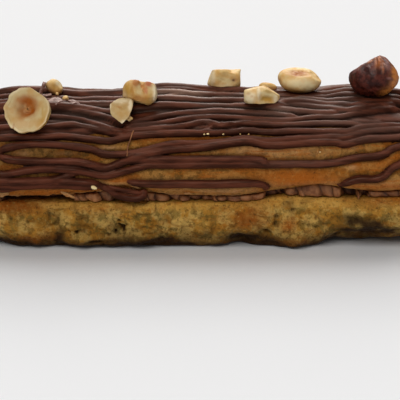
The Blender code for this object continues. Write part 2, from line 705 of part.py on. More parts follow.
# Each piece of nut: place of its middle, radii before cutting, turn in degrees, flat faces.
NUTS = (
    {"name": "half_nut_left", "at": (-48.8, -18.9, 40.7), "radii": (6.6, 6.5, 5.2),
     "turn": (60, 0, -12), "dish": 2.4, "faces": (((0.5, 0.87, 0), 5.9),), "seed": 3},
    {"name": "nut_chip", "at": (-42.8, 1.2, 41.9), "radii": (2.8, 2.4, 2.1),
     "turn": (-10, 35, 0), "faces": (((0.3, -0.5, 1), 1.75), ((-1, 0, 0.3), 2.2)), "seed": 5},
    {"name": "nut_split", "at": (-17.4, -8.8, 43.0), "radii": (5.4, 4.3, 4.2),
     "turn": (-20, 0, 0), "faces": (((-0.3, 0, -0.95), 2.85), ((-1, 0, 0.1), 4.7),
                                    ((1, -0.15, 0.1), 4.75), ((0.17, 0, 1), 3.3),
                                    ((0.35, -1, 0.25), 3.3)), "seed": 7},
    {"name": "nut_wedge", "at": (-22.4, -14.9, 39.2), "radii": (4.6, 5.3, 2.3),
     "turn": (42, 0, 0), "faces": (((-1, -0.1, -0.5), 2.2), ((-0.7, -0.7, -0.5), 2.3),
                                   ((0.82, -0.57, -0.5), 2.2), ((0.96, -0.26, -0.5), 1.95),
                                   ((-0.58, 0.81, 0), 3.3), ((-0.07, 1, 0), 3.6),
                                   ((0, 0, 1), 1.35)), "seed": 9},
    {"name": "nut_chunk", "at": (7.4, 8.9, 42.0), "radii": (5.6, 4.4, 4.2),
     "turn": (-6, 0, 4), "faces": (((1, 0, 0.03), 4.5), ((0, 0.2, 1), 2.85), ((0, 0, -1), 2.4),
                                   ((-1, 0, 0.4), 4.3), ((0, -1, 0.1), 3.6)), "seed": 11},
    {"name": "nut_lump", "at": (17.4, -8.6, 41.9), "radii": (5.5, 4.0, 3.2),
     "turn": (-10, 0, 0), "faces": (((0, 0, -1), 2.0), ((0.35, -1, -0.25), 2.9),
                                    ((-0.22, 0, 1), 2.7), ((0.5, 0, 0.87), 3.0),
                                    ((-1, 0, 0), 4.7)), "seed": 13},
    {"name": "nut_sliver", "at": (20.1, 4.2, 40.9), "radii": (2.7, 1.6, 1.4),
     "turn": (-20, 8, 0), "faces": (((0, 0.3, 1), 1.1),), "seed": 15},
    {"name": "half_nut_right", "at": (29.3, 3.2, 43.4), "radii": (6.4, 5.5, 3.65),
     "turn": (4, 3, 0), "faces": (((0, 0, 1), 2.4), ((0.55, 0, 0.83), 3.6)), "seed": 17},
    {"name": "whole_nut", "at": (50.5, -2.4, 45.6), "radii": (7.15, 6.6, 5.75),
     "turn": (-20, 0, 0), "faces": (((-0.5, 0, 0.86), 4.7),), "point": 0.16, "lump": 0.04,
     "seed": 19},
)


def main():
    """Build the eclair."""
    clear_scene()
    eclair = new_collection("eclair")
    cutters = new_collection("cutters")
    choux = new_material("choux", (0.36, 0.22, 0.07), 0.75)
    chocolate = new_material("chocolate", (0.07, 0.028, 0.02), 0.42)
    cream = new_material("cream", (0.28, 0.15, 0.10), 0.55)
    nut = new_material("nut", (0.68, 0.48, 0.22), 0.6)
    nut_skin = new_material("nut_skin", (0.09, 0.03, 0.015), 0.5)
    loaf("base", base_ring(), BASE_STATIONS, base_place, eclair, choux)
    loaf("filling", filling_ring(), FILLING_STATIONS, filling_place, eclair, cream)
    lid = build_lid(eclair, cutters, chocolate)
    nuts = []
    for spec in NUTS:
        nuts.append(build_nut(spec, eclair, nut_skin if spec["name"] == "whole_nut" else nut))
    seat_nuts(lid, nuts, cutters, chocolate)
    for made in eclair.objects:
        print(made.name, len(made.data.polygons))


main()
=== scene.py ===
"""Looks of a chocolate-striped eclair: choux, praline cream, chocolate strands and hazelnuts.

The shapes repeat the named sizes of the part's source, in millimetres, and add what is finer.
"""

import logging
import math
import random
from dataclasses import dataclass, field
from enum import Enum
from functools import cached_property, partial
from itertools import starmap
from typing import Callable, Sequence

import bmesh
import bpy
import numpy as np
from mathutils import Euler, Matrix, Vector, noise


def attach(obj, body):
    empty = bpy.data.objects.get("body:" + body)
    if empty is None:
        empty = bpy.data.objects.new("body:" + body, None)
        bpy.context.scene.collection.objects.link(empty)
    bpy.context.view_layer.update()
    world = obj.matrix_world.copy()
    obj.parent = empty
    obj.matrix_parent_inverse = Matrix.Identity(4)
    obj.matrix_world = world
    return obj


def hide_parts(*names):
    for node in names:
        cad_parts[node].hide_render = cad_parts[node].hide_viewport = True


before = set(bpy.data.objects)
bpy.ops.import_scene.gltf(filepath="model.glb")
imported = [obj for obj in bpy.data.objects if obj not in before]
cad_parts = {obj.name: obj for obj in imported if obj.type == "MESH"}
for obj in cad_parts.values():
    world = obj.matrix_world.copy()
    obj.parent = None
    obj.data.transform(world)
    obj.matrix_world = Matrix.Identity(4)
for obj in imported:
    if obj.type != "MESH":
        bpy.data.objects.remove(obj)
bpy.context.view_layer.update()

MM = 0.001
SEED = 58
LOG = logging.getLogger("eclair")
FRONT_LOOK = math.radians(20.0)  # how far down the front of the eclair is looked at

Array = np.ndarray
Triple = tuple[float, float, float]
Pair = tuple[float, float]
Knots = list[Pair]
Patches = tuple[tuple[float, ...], ...]
BMesh = bmesh.types.BMesh
BMVert = bmesh.types.BMVert
Socket = bpy.types.NodeSocket
Material = bpy.types.Material
Object = bpy.types.Object


def srgb(red: int, green: int, blue: int) -> Triple:
    """Linear colour of an 8-bit screen colour.

    Args:
        red: Red, 0 to 255.
        green: Green, 0 to 255.
        blue: Blue, 0 to 255.

    Returns:
        The linear colour.
    """
    parts = [level / 255 for level in (red, green, blue)]
    return tuple(p / 12.92 if p <= 0.04045 else ((p + 0.055) / 1.055) ** 2.4 for p in parts)


# ---- shape functions ----
def step_up(x: Array, centre: float, width: float) -> Array:
    """Smooth step from 0 to 1.

    Args:
        x: Places along one axis.
        centre: Where the step is half done.
        width: How long the step takes.

    Returns:
        The share of the step done at each place.
    """
    return 0.5 * (1.0 + np.tanh((x - centre) / width * 2.0))


def hump(x: Array, centre: float, width: float) -> Array:
    """Smooth hump of height 1.

    Args:
        x: Places along one axis.
        centre: Middle of the hump.
        width: Half its width.

    Returns:
        The hump's height at each place.
    """
    return np.exp(-(((x - centre) / width) ** 2))


def humps(x: Array, table: Sequence[Triple]) -> Array:
    """Sum of smooth humps, each given as (centre, width, rise)."""
    return sum(rise * hump(x, centre, width) for centre, width, rise in table)


def patches(spots: Patches, x: Array, up: Array) -> list[Array]:
    """Soft oval patches.

    Args:
        spots: Patches as (along X, up, length, width, strength).
        x: Places along the loaf.
        up: Heights of the same places, or their arcs up the lid.

    Returns:
        The strength of each patch at all the places.
    """
    return [share * hump(x, along, length) * hump(up, height, wide)
            for along, height, length, wide, share in spots]


def as_points(*columns: Array | float) -> Array:
    """Points from their coordinates, one point a row."""
    return np.stack(np.broadcast_arrays(*columns), axis=1)


def knobs(points: Array, size: float, seed: float) -> Array:
    """The soft lumps that the part's source has.

    Args:
        points: Places in millimetres, one a row.
        size: Size of a lump.
        seed: Offset that picks the pattern.

    Returns:
        Values between about -1 and 1.
    """
    shifted = points / size + np.array((seed, -seed, 0.0))
    return np.array([noise.noise(place) for place in shifted.tolist()])


class Grain:
    """Seeded smooth noise on a repeating lattice, for relief finer than the part's own."""

    SIDE = 48

    def __init__(self, seed: int) -> None:
        """Draw the lattice.

        Args:
            seed: Seed of the draw.
        """
        self.lattice = np.random.default_rng(seed).uniform(-1, 1, (self.SIDE,) * 3)

    def at(self, points: Array, size: float) -> Array:
        """Noise with lumps of one size.

        Args:
            points: Places in millimetres, one a row.
            size: Size of a lump.

        Returns:
            Values between -1 and 1.
        """
        scaled = points / size + 100.0
        cell = np.floor(scaled).astype(int)
        part = scaled - cell
        part = part * part * (3 - 2 * part)
        total = np.zeros(len(points))
        for corner in range(8):
            bits = np.array([corner & 1, corner >> 1 & 1, corner >> 2 & 1])
            weight = np.prod(np.where(bits == 1, part, 1 - part), axis=1)
            index = (cell + bits) % self.SIDE
            total += weight * self.lattice[index[:, 0], index[:, 1], index[:, 2]]
        return total

    def layered(self, points: Array, size: float, layers: int) -> Array:
        """Noise with lumps of one size and finer ones on them.

        Args:
            points: Places in millimetres, one a row.
            size: Size of the largest lump.
            layers: Number of sizes, each half the last.

        Returns:
            Values between about -1.5 and 1.5.
        """
        return sum(self.at(points + 7 * layer, size / 2**layer) / 2**layer
                   for layer in range(layers))


@dataclass(frozen=True)
class LoafForm:
    """The eclair's driving sizes and the curves that follow from them, in millimetres."""

    length: float = 146.0
    straight_share: float = 0.70
    base_half_width: float = 24.0
    base_foot_half_width: float = 18.5
    base_widest: float = 8.0
    base_top: float = 13.9
    base_rim_angle: float = 60.0
    lid_half_width: float = 23.4
    lid_under: float = 16.6
    lid_widest: float = 20.6
    lid_dome: float = 18.9
    section_power: float = 2.3
    end_power: float = 2.6
    foot_power: float = 3.0
    flat_power: float = 7.0
    dome_power: float = 2.3
    cut_climb: Triple = (18.0, 7.0, 1.3)
    base_hump: Triple = (24.0, 7.0, 0.5)
    lid_arch: Triple = (34.0, 8.0, 1.1)
    # Where the lid's lower edge hangs and lifts, as (centre, width, rise).
    lip_waves: tuple[Triple, ...] = (
        (-60, 7, -1.3), (-46, 9, -0.9), (-22, 6.5, 1.9), (3, 14, -0.9), (33, 6, 0.6), (53, 10, -0.6))
    crust_wave: float = 0.45
    crest_level: float = -0.75
    # Rises and dips of the crest as (centre, width, rise).
    crest_humps: tuple[Triple, ...] = (
        (-62, 5, -0.3), (-35, 7, -1.3), (-25, 7, -1.2), (-9, 8, 0.9), (14, 8, -0.3), (36, 4, -0.3),
        (44, 6, 0.7))
    crest_power: int = 4
    fine_points: int = 720
    pit_reach: float = 68.0  # how far from the middle the small pits are scattered

    def taper(self, x: Array, power: float) -> Array:
        """Share of the full size left towards the tips.

        Args:
            x: Places along the loaf.
            power: Roundness of the end.

        Returns:
            1 along the middle and 0 at both tips.
        """
        share = np.minimum(1.0, np.abs(x) / (self.length / 2))
        beyond = np.maximum(0.0, (share - self.straight_share) / (1 - self.straight_share))
        return np.maximum(0.0, 1.0 - beyond**power) ** (1.0 / power)

    def climb(self, x: Array) -> Array:
        """Rise of the whole cut towards +X, at places along the loaf."""
        return self.cut_climb[2] * step_up(x, self.cut_climb[0], self.cut_climb[1])

    def top_of_base(self, x: Array) -> Array:
        """Height of the base's cut face, at places along the loaf."""
        return self.base_top + self.climb(x) + humps(x, [self.base_hump])

    def under_lid(self, x: Array) -> Array:
        """Height of the lid's cut face, at places along the loaf."""
        return self.lid_under + self.climb(x) + humps(x, [self.lid_arch, *self.lip_waves])

    def crest(self, x: Array) -> Array:
        """Rise of the crest above its even height, at places along the loaf."""
        return self.crest_level + humps(x, self.crest_humps)

    def section(self) -> tuple[Array, Array, float]:
        """The lid's section from the front lip's edge over the crest to the back lip's edge.

        Returns:
            Its points (across, up), the arc to each point, and the arc round one lip.
        """
        lip = self.lid_widest - self.lid_under
        angle = np.linspace(90, 0, self.fine_points // 6, endpoint=False) * math.pi / 180
        lip_points = np.stack((lip * (1 - np.cos(angle)) - self.lid_half_width,
                               self.lid_widest - lip * np.sin(angle)), axis=1)
        turn = np.linspace(0, math.pi, self.fine_points + 1)
        power = 2 / self.section_power
        across = -np.sign(np.cos(turn)) * np.abs(np.cos(turn)) ** power
        up = np.abs(np.sin(turn)) ** power
        dome = np.stack((self.lid_half_width * across, self.lid_widest + self.lid_dome * up), axis=1)
        back = lip_points[::-1] * (-1.0, 1.0)
        points = np.concatenate((lip_points, dome, back))
        arc = np.concatenate(([0.0], np.cumsum(np.hypot(*np.diff(points, axis=0).T))))
        return points, arc, float(arc[len(lip_points)])

    def lid_shape(self, x: Array, y: Array, z: Array) -> Array:
        """Taper points of the lid's section for their places along the loaf.

        Args:
            x: Places along the loaf.
            y: Across the section.
            z: Up the section.

        Returns:
            The points, one a row.
        """
        high = np.maximum(0.0, z - self.lid_widest)
        high = high + self.crest(x) * (high / self.lid_dome) ** self.crest_power
        above = self.lid_widest + high * self.taper(x, self.dome_power)
        share = (self.lid_widest - z) / (self.lid_widest - self.lid_under)
        drop = (self.lid_widest - self.under_lid(x)) * self.taper(x, self.flat_power)
        tall = np.where(z >= self.lid_widest, above, self.lid_widest - share * drop)
        return as_points(x, y * self.taper(x, self.end_power), tall)


FORM = LoafForm()
SECTION, ARC, LIP_ARC = FORM.section()
GIRTH = float(ARC[-1])
BACK_ARC = GIRTH - 2 * LIP_ARC


def crust_point(x: Array, up: Array, height: Array | float = 0.0) -> tuple[Array, Array]:
    """Places on or above the lid's crust.

    Args:
        x: Places along the loaf.
        up: Arc up the section from the front's widest line, as if untapered.
        height: Distance above the crust.

    Returns:
        The points and the crust's outward directions, one a row.
    """
    arc = np.clip(up + LIP_ARC, 0.0, GIRTH)
    nudge = 0.05

    def at(along: Array, around: Array) -> Array:
        y = np.interp(around, ARC, SECTION[:, 0])
        z = np.interp(around, ARC, SECTION[:, 1])
        return FORM.lid_shape(along, y, z)

    inward = np.where(x > 0, -nudge, nudge)
    around = np.clip(arc, nudge, GIRTH - nudge)
    here = at(x, arc)
    tangent = at(x, around + nudge) - at(x, around - nudge)
    ahead = (at(x + inward, arc) - here) * np.sign(inward)[:, None]
    normal = np.cross(ahead, tangent)
    normal /= np.linalg.norm(normal, axis=1, keepdims=True) + 1e-12
    wave = FORM.crust_wave * knobs(here, 14.0, SEED + 21) * FORM.taper(x, 2.0)
    lift = np.asarray(height) + wave * 0.8
    return here + normal * np.reshape(lift, (-1, 1)), normal


# ---- mesh helpers ----
def add_object(name: str, data: bpy.types.ID) -> Object:
    """Add an object with this data to the scene."""
    made = bpy.data.objects.new(name, data)
    bpy.context.scene.collection.objects.link(made)
    return made


def finish_mesh(name: str, bm: BMesh, marks: dict[str, Array] | None = None) -> Object:
    """Turn a bmesh in millimetres into an object in metres, smooth and facing outwards.

    Args:
        name: Name of the piece.
        bm: The shape, which is freed.
        marks: Named values for each vertex, for the finishes to read.

    Returns:
        The new object.
    """
    bm.transform(Matrix.Scale(MM, 4))
    bmesh.ops.recalc_face_normals(bm, faces=bm.faces)
    if bm.calc_volume(signed=True) < 0:
        bmesh.ops.reverse_faces(bm, faces=bm.faces)
    mesh = bpy.data.meshes.new(name)
    bm.to_mesh(mesh)
    bm.free()
    for polygon in mesh.polygons:
        polygon.use_smooth = True
    for mark, values in (marks or {}).items():
        layer = mesh.attributes.new(mark, "FLOAT", "POINT")
        layer.data.foreach_set("value", np.asarray(values, dtype=np.float32))
    return add_object(name, mesh)


def set_points(verts: Sequence[BMVert], points: Array) -> None:
    """Move vertices.

    Args:
        verts: The vertices.
        points: Their new places, one a row.
    """
    for vertex, place in zip(verts, points.tolist()):
        vertex.co = place


def get_points(verts: Sequence[BMVert]) -> Array:
    """Places of vertices, one a row."""
    return np.array([vertex.co[:] for vertex in verts])


def loaf_grid(stations: int, ring: int) -> tuple[BMesh, Array, Array]:
    """A closed skin with its poles on the X axis, to be mapped to a loaf.

    Args:
        stations: Steps from pole to pole.
        ring: Points in a ring.

    Returns:
        The skin, each vertex's place from -1 to 1 along it, and its share of a turn round it.
    """
    bm = bmesh.new()
    bmesh.ops.create_grid(bm, x_segments=stations, y_segments=ring, size=1.0)
    verts = list(bm.verts)
    flat = get_points(bm.verts)
    column = np.rint((flat[:, 0] + 1) / 2 * stations).astype(int)
    row = np.rint((flat[:, 1] + 1) / 2 * ring).astype(int)
    places = {(i, j): vertex for vertex, i, j in zip(verts, column.tolist(), row.tolist())}
    target = {}
    for (i, j), vertex in places.items():
        kept = places[(i, 0)] if i in (0, stations) else places[(i, j % ring)]
        if vertex is not kept:
            target[vertex] = kept
    bmesh.ops.weld_verts(bm, targetmap=target)
    flat = get_points(bm.verts)
    return bm, flat[:, 0], (flat[:, 1] + 1) / 2 % 1.0


def spread(along: Array, tightness: float) -> Array:
    """Places along the loaf for a ball's rings, closer together at the tips.

    Args:
        along: Places from -1 to 1.
        tightness: Share of the sine in the spacing.

    Returns:
        Places in millimetres.
    """
    eased = (1 - tightness) * along + tightness * np.sin(along * math.pi / 2)
    return eased * FORM.length / 2


def shape_pits(points: Array, centres: Array, radii: Array, depths: Array) -> Array:
    """Relief of many small pits.

    Args:
        points: Surface places, one a row.
        centres: Middle of each pit.
        radii: Radius of each pit.
        depths: Depth of each pit.

    Returns:
        The relief at each place, below zero in a pit.
    """
    relief = np.zeros(len(points))
    for centre, radius, depth in zip(centres, radii, depths):
        near = np.abs(points[:, 0] - centre[0]) < 2.5 * radius
        distance = np.linalg.norm(points[near] - centre, axis=1) / radius
        relief[near] -= depth * np.exp(-(distance**4)) - 0.18 * depth * hump(distance, 1.35, 0.3)
    return relief


def on_outline(outline: Array, weight: Array, around: Array) -> tuple[Array, Array]:
    """Points of a closed outline.

    Args:
        outline: Its corners, one a row, of which the first comes again at the end.
        weight: Share of the spacing that each side gets.
        around: Share of a turn round the outline.

    Returns:
        Across and up of each point.
    """
    arc = np.concatenate(([0.0], np.cumsum(weight * np.hypot(*np.diff(outline, axis=0).T))))
    return tuple(np.interp(around * arc[-1], arc, column) for column in outline.T)


def tube(points: Sequence[Vector], radii: Sequence[float], sides: int) -> BMesh:
    """A round tube of changing radius, swept by extruding its ring.

    Args:
        points: Its middle line.
        radii: Its radius at each point.
        sides: Points in a ring.

    Returns:
        The closed tube.
    """
    bm = bmesh.new()
    ring = bmesh.ops.create_circle(bm, cap_ends=True, segments=sides, radius=1.0)["verts"]
    base = [vertex.co.copy() for vertex in ring]
    edges = list(bm.edges)
    rings = [ring]
    for _ in points[1:]:
        grown = bmesh.ops.extrude_edge_only(bm, edges=edges)["geom"]
        ring = [item for item in grown if isinstance(item, BMVert)]
        edges = [item for item in grown if isinstance(item, bmesh.types.BMEdge)
                 and all(vertex in ring for vertex in item.verts)]
        rings.append(ring)
    for index, (ring, middle, radius) in enumerate(zip(rings, points, radii)):
        ahead = points[min(index + 1, len(points) - 1)] - points[max(index - 1, 0)]
        turn = ahead.to_track_quat("Z", "X")
        for vertex, start in zip(ring, base):
            vertex.co = middle + turn @ (start * radius)
    bmesh.ops.contextual_create(bm, geom=edges)
    return bm


# ---- finishes ----
class Sketch:
    """Short calls for building one node material."""

    def __init__(self, name: str, colour: Triple) -> None:
        """Start a material with a Principled shader.

        Args:
            name: Name of the material.
            colour: The linear colour that the others are laid over.
        """
        self.colour = colour
        self.material = bpy.data.materials.new(name)
        self.material.use_nodes = True
        self.tree = self.material.node_tree
        self.shader = self.tree.nodes["Principled BSDF"]
        self.place = self.node("ShaderNodeTexCoord").outputs["Object"]

    def node(self, kind: str, **settings: object) -> bpy.types.Node:
        """Add a node.

        Args:
            kind: Its Blender type.
            **settings: Values for its properties.

        Returns:
            The node.
        """
        made = self.tree.nodes.new(kind)
        for key, value in settings.items():
            setattr(made, key, value)
        return made

    def feed(self, socket: Socket, value: object) -> None:
        """Link a socket to an input, or set the input to a value."""
        if isinstance(value, Socket):
            self.tree.links.new(value, socket)
        else:
            socket.default_value = value

    def plug(self, node: bpy.types.Node, **inputs: object) -> bpy.types.Node:
        """Set or link a node's inputs.

        Args:
            node: The node.
            **inputs: Values or sockets, named as the inputs are with _ for a space.

        Returns:
            The same node.
        """
        for key, value in inputs.items():
            self.feed(node.inputs[key.replace("_", " ")], value)
        return node

    def stretched(self, along: float) -> Socket:
        """Object coordinates with X scaled, so that a pattern runs along the loaf.

        Args:
            along: Scale along X; below 1 draws the pattern out.

        Returns:
            The coordinates.
        """
        mapping = self.node("ShaderNodeMapping")
        return self.plug(mapping, Vector=self.place, Scale=(along, 1.0, 1.0)).outputs["Vector"]

    def grain(self, size: float, detail: float = 3.0, rough: float = 0.55,
              place: Socket | None = None) -> Socket:
        """Noise with lumps of a size in millimetres.

        Args:
            size: Size of a lump.
            detail: Number of finer layers.
            rough: Strength of the finer layers.
            place: Coordinates, or None for the object's own.

        Returns:
            Values from 0 to 1.
        """
        made = self.node("ShaderNodeTexNoise")
        self.plug(made, Vector=place or self.place, Scale=1 / (size * MM), Detail=detail,
                  Roughness=rough)
        return made.outputs["Fac"]

    def cells(self, size: float) -> Socket:
        """Distance to the nearest of many scattered points.

        Args:
            size: Distance between the points in millimetres.

        Returns:
            0 at a point and more away from it.
        """
        made = self.node("ShaderNodeTexVoronoi")
        return self.plug(made, Vector=self.place, Scale=1 / (size * MM)).outputs["Distance"]

    def mark(self, name: str) -> Socket:
        """The named value that the mesh holds for each vertex."""
        return self.node("ShaderNodeAttribute", attribute_name=name).outputs["Fac"]

    def between(self, value: Socket, low: float, high: float,
                to_low: float = 0.0, to_high: float = 1.0) -> Socket:
        """Map a range of values to another.

        Args:
            value: What is mapped.
            low: Value that gives to_low.
            high: Value that gives to_high.
            to_low: First result.
            to_high: Last result.

        Returns:
            The mapped value.
        """
        made = self.node("ShaderNodeMapRange", interpolation_type="SMOOTHSTEP")
        self.plug(made, Value=value, From_Min=low, From_Max=high, To_Min=to_low, To_Max=to_high)
        return made.outputs["Result"]

    def math(self, operation: str, first: object, second: object) -> Socket:
        """Combine two values.

        Args:
            operation: Name of the Math node's operation.
            first: A value or socket.
            second: A value or socket.

        Returns:
            The result.
        """
        made = self.node("ShaderNodeMath", operation=operation)
        self.feed(made.inputs[0], first)
        self.feed(made.inputs[1], second)
        return made.outputs["Value"]

    def over(self, share: object, colour: Triple) -> None:
        """Lay a colour over the ones before it.

        Args:
            share: Share of the new colour, a value or socket.
            colour: The new linear colour.
        """
        made = self.node("ShaderNodeMix", data_type="RGBA")
        before = self.colour
        self.feed(made.inputs[0], share)
        self.feed(made.inputs[6], before if isinstance(before, Socket) else (*before, 1.0))
        self.feed(made.inputs[7], (*colour, 1.0))
        self.colour = made.outputs[2]

    def bump(self, height: Socket, distance: float, strength: float,
             under: Socket | None = None) -> Socket:
        """Bump from a height.

        Args:
            height: Heights from 0 to 1.
            distance: Size of height 1 in millimetres.
            strength: Strength of the bump.
            under: A coarser bump to build on.

        Returns:
            The bumped normal.
        """
        made = self.node("ShaderNodeBump")
        self.plug(made, Height=height, Distance=distance * MM, Strength=strength)
        if under is not None:
            self.plug(made, Normal=under)
        return made.outputs["Normal"]

    def worn(self, grain: Socket, rough: Pair) -> Socket:
        """Roughness between two values, by a grain."""
        return self.between(grain, 0.3, 0.7, *rough)

    def done(self, roughness: Socket, normal: Socket, specular: float) -> Material:
        """Link the results to the shader.

        Args:
            roughness: Roughness.
            normal: Normal.
            specular: Specular level.

        Returns:
            The finished material.
        """
        self.plug(self.shader, Base_Color=self.colour, Roughness=roughness, Normal=normal,
                  Specular_IOR_Level=specular)
        return self.material


@dataclass(frozen=True)
class ChouxFinish:
    """Baked choux: ochre with olive crumb, golden ridges and toasted patches, painted highlights on the
    base's top rim and mounds, and painted shade in pores, pits, creases, tucks and towards the foot.
    """

    name: str = "choux"
    pale: Triple = srgb(216, 176, 96)
    gold: Triple = srgb(188, 132, 46)
    olive: Triple = srgb(124, 104, 46)
    crumb: Triple = srgb(92, 62, 24)
    toasted: Triple = srgb(180, 100, 26)
    # dark colour of the painted shade in pores, pits, creases and tucks, and towards the foot, where it
    # also stands for some browning
    burnt_and_shade: Triple = srgb(48, 26, 10)
    # golden tone, which on the base's top rim and mounds is a painted highlight
    ripe_and_highlight: Triple = srgb(226, 170, 78)
    streaks: float = 0.3
    drawn_out: float = 0.35
    pores: float = 0.4
    speckle: float = 0.7
    rough: Pair = (0.6, 0.8)
    specular: float = 0.14

    def build(self) -> Material:
        """Make the material."""
        s = Sketch(self.name, self.gold)
        soft = s.grain(5.5, 3.0, 0.6)
        mottle = s.grain(2.4, 4.0, 0.65)
        fine = s.grain(1.15, 4.0, 0.65)
        streak = s.grain(1.5, 4.0, 0.65, s.stretched(self.drawn_out))
        cells = s.cells(0.9)
        open_pores = s.between(cells, 0.0, 0.28, 1.0, 0.0)
        s.over(s.between(soft, 0.42, 0.56), self.pale)
        s.over(s.between(mottle, 0.48, 0.58, 0.0, 0.75), self.olive)
        # golden tone, and on the base a painted highlight
        s.over(s.math("MULTIPLY", s.mark("ripe_and_highlight"), s.between(fine, 0.3, 0.5, 0.5, 1.0)), self.ripe_and_highlight)
        s.over(s.between(streak, 0.52, 0.62, 0.0, self.streaks), self.toasted)
        s.over(s.math("MULTIPLY", s.mark("toast"), s.between(mottle, 0.3, 0.6, 0.7, 1.0)),
               self.toasted)
        s.over(s.between(fine, 0.52, 0.7, 0.0, self.speckle), self.crumb)
        s.over(s.between(fine, 0.32, 0.42, 0.6, 0.0), self.pale)
        # open pores painted darker: painted shade in them
        s.over(s.math("MULTIPLY", open_pores, s.between(soft, 0.4, 0.6, 0.0, self.pores)),
               self.burnt_and_shade)
        # the dark mark: painted shade
        s.over(s.mark("dark"), self.burnt_and_shade)
        low = s.bump(s.between(fine, 0.25, 0.75), 0.4, 0.9)
        normal = s.bump(s.between(cells, 0.0, 0.35), 0.2, 0.6, low)
        return s.done(s.worn(fine, self.rough), normal, self.specular)


@dataclass(frozen=True)
class ChocolateFinish:
    """Set chocolate: satin brown, a little greyer where it lies flat and thin, with a painted highlight
    where it is wet and painted shade in its grooves and under the strands.
    """

    name: str = "chocolate"
    deep: Triple = srgb(64, 29, 17)
    mid: Triple = srgb(102, 52, 35)
    # painted shade colour for the hollows between strands and their undersides
    groove_shade: Triple = srgb(26, 10, 5)
    grey: Triple = srgb(108, 80, 70)
    # painted highlight colour, laid where the wet mark is
    sheen: Triple = srgb(150, 118, 102)
    tint: Triple = (1.0, 0.72, 0.58)
    drawn_out: float = 0.14
    bloom_share: float = 0.7
    sheen_share: float = 0.8
    polish: float = 0.22  # how much smoother the wettest places are
    rough: Pair = (0.35, 0.56)
    specular: float = 0.25

    def build(self) -> Material:
        """Make the material."""
        s = Sketch(self.name, self.deep)
        long = s.stretched(self.drawn_out)
        s.over(s.between(s.grain(1.5, 3.0, 0.6, long), 0.35, 0.65), self.mid)
        s.over(s.math("MULTIPLY", s.mark("bloom"), self.bloom_share), self.grey)
        # painted highlight where the chocolate is wet
        s.over(s.between(s.mark("wet_and_highlight"), 0.1, 1.0, 0.0, self.sheen_share), self.sheen)
        # the groove mark: painted shade
        s.over(s.mark("groove_shade"), self.groove_shade)
        low = s.bump(s.grain(0.9, 3.0, 0.6, long), 0.15, 0.7)
        normal = s.bump(s.grain(0.35, 2.0), 0.04, 0.5, low)
        rough = s.worn(s.grain(2.5, 3.0, 0.6, long), self.rough)
        roughness = s.math("SUBTRACT", rough, s.math("MULTIPLY", s.mark("wet_and_highlight"), self.polish))
        s.plug(s.shader, Specular_Tint=(*self.tint, 1.0))
        return s.done(roughness, normal, self.specular)


@dataclass(frozen=True)
class CreamFinish:
    """Piped praline cream: soft pinkish brown, with painted shade in its folds and recesses."""

    name: str = "cream"
    light: Triple = srgb(176, 117, 70)
    shade: Triple = srgb(128, 76, 42)
    # painted shade colour for the folds and recesses
    fold_shade: Triple = srgb(56, 28, 16)
    rough: Pair = (0.42, 0.6)
    specular: float = 0.45

    def build(self) -> Material:
        """Make the material."""
        s = Sketch(self.name, self.light)
        s.over(s.between(s.grain(2.4, 3.0), 0.35, 0.65), self.shade)
        # the fold mark: painted shade
        s.over(s.mark("fold_shade"), self.fold_shade)
        normal = s.bump(s.grain(0.5, 3.0), 0.08, 0.6)
        return s.done(s.worn(s.grain(1.5), self.rough), normal, self.specular)


@dataclass(frozen=True)
class NutFinish:
    """Skinned hazelnut: creamy yellow, browner in hollows, with scraps of skin, and painted highlights on
    rims and edges.
    """

    name: str = "nut"
    pale: Triple = srgb(252, 230, 172)
    warm: Triple = srgb(242, 194, 120)
    ochre: Triple = srgb(224, 172, 90)
    dull: Triple = srgb(150, 124, 80)
    hollow: Triple = srgb(176, 96, 18)
    gold: Triple = srgb(196, 146, 52)
    rosy: Triple = srgb(206, 112, 74)
    # painted highlight colour, laid on rims and edges
    light: Triple = srgb(255, 240, 204)
    skin: Triple = srgb(84, 42, 26)
    rough: Pair = (0.45, 0.62)
    specular: float = 0.4

    def build(self) -> Material:
        """Make the material."""
        s = Sketch(self.name, self.pale)
        whole = s.math("SUBTRACT", 1.0, s.mark("cut"))
        s.over(s.between(s.grain(3.0, 3.0), 0.35, 0.65), self.warm)
        s.over(s.math("MULTIPLY", whole, s.between(s.grain(4.0, 2.0), 0.4, 0.6, 0.15, 0.8)),
               self.ochre)
        s.over(s.between(s.grain(0.5, 2.0), 0.55, 0.8, 0.0, 0.35), self.warm)
        # the light mark is a painted highlight
        for mark in ("dull", "gold", "light", "hollow", "rosy", "skin"):
            s.over(s.mark(mark), getattr(self, mark))
        low = s.bump(s.grain(1.0, 3.0, 0.6), 0.1, 0.6)
        normal = s.bump(s.grain(0.3, 2.0), 0.04, 0.5, low)
        return s.done(s.worn(s.grain(0.8), self.rough), normal, self.specular)


@dataclass(frozen=True)
class SkinFinish:
    """Roasted hazelnut skin: dark red-brown, with tan streaks, bare kernel, papery patches and some
    painted highlights.
    """

    name: str = "nut_skin"
    dark: Triple = srgb(56, 14, 6)
    ruddy: Triple = srgb(98, 38, 24)
    tan: Triple = srgb(186, 108, 56)
    bare: Triple = srgb(206, 128, 52)
    # pale papery skin, also laid as a painted highlight on the whole nut
    paper_and_highlight: Triple = srgb(150, 106, 100)
    rough: Pair = (0.36, 0.55)
    specular: float = 0.5

    def build(self) -> Material:
        """Make the material."""
        s = Sketch(self.name, self.dark)
        s.over(s.between(s.grain(1.6, 4.0, 0.65), 0.4, 0.65), self.ruddy)
        # the paper mark is papery skin and, in places, a painted highlight
        for mark in ("bare", "tan", "paper_and_highlight"):
            s.over(s.mark(mark), getattr(self, mark))
        low = s.bump(s.grain(1.2, 3.0, 0.6), 0.25, 0.9)
        normal = s.bump(s.grain(0.35, 2.0), 0.06, 0.6, low)
        return s.done(s.worn(s.grain(0.8), self.rough), normal, self.specular)


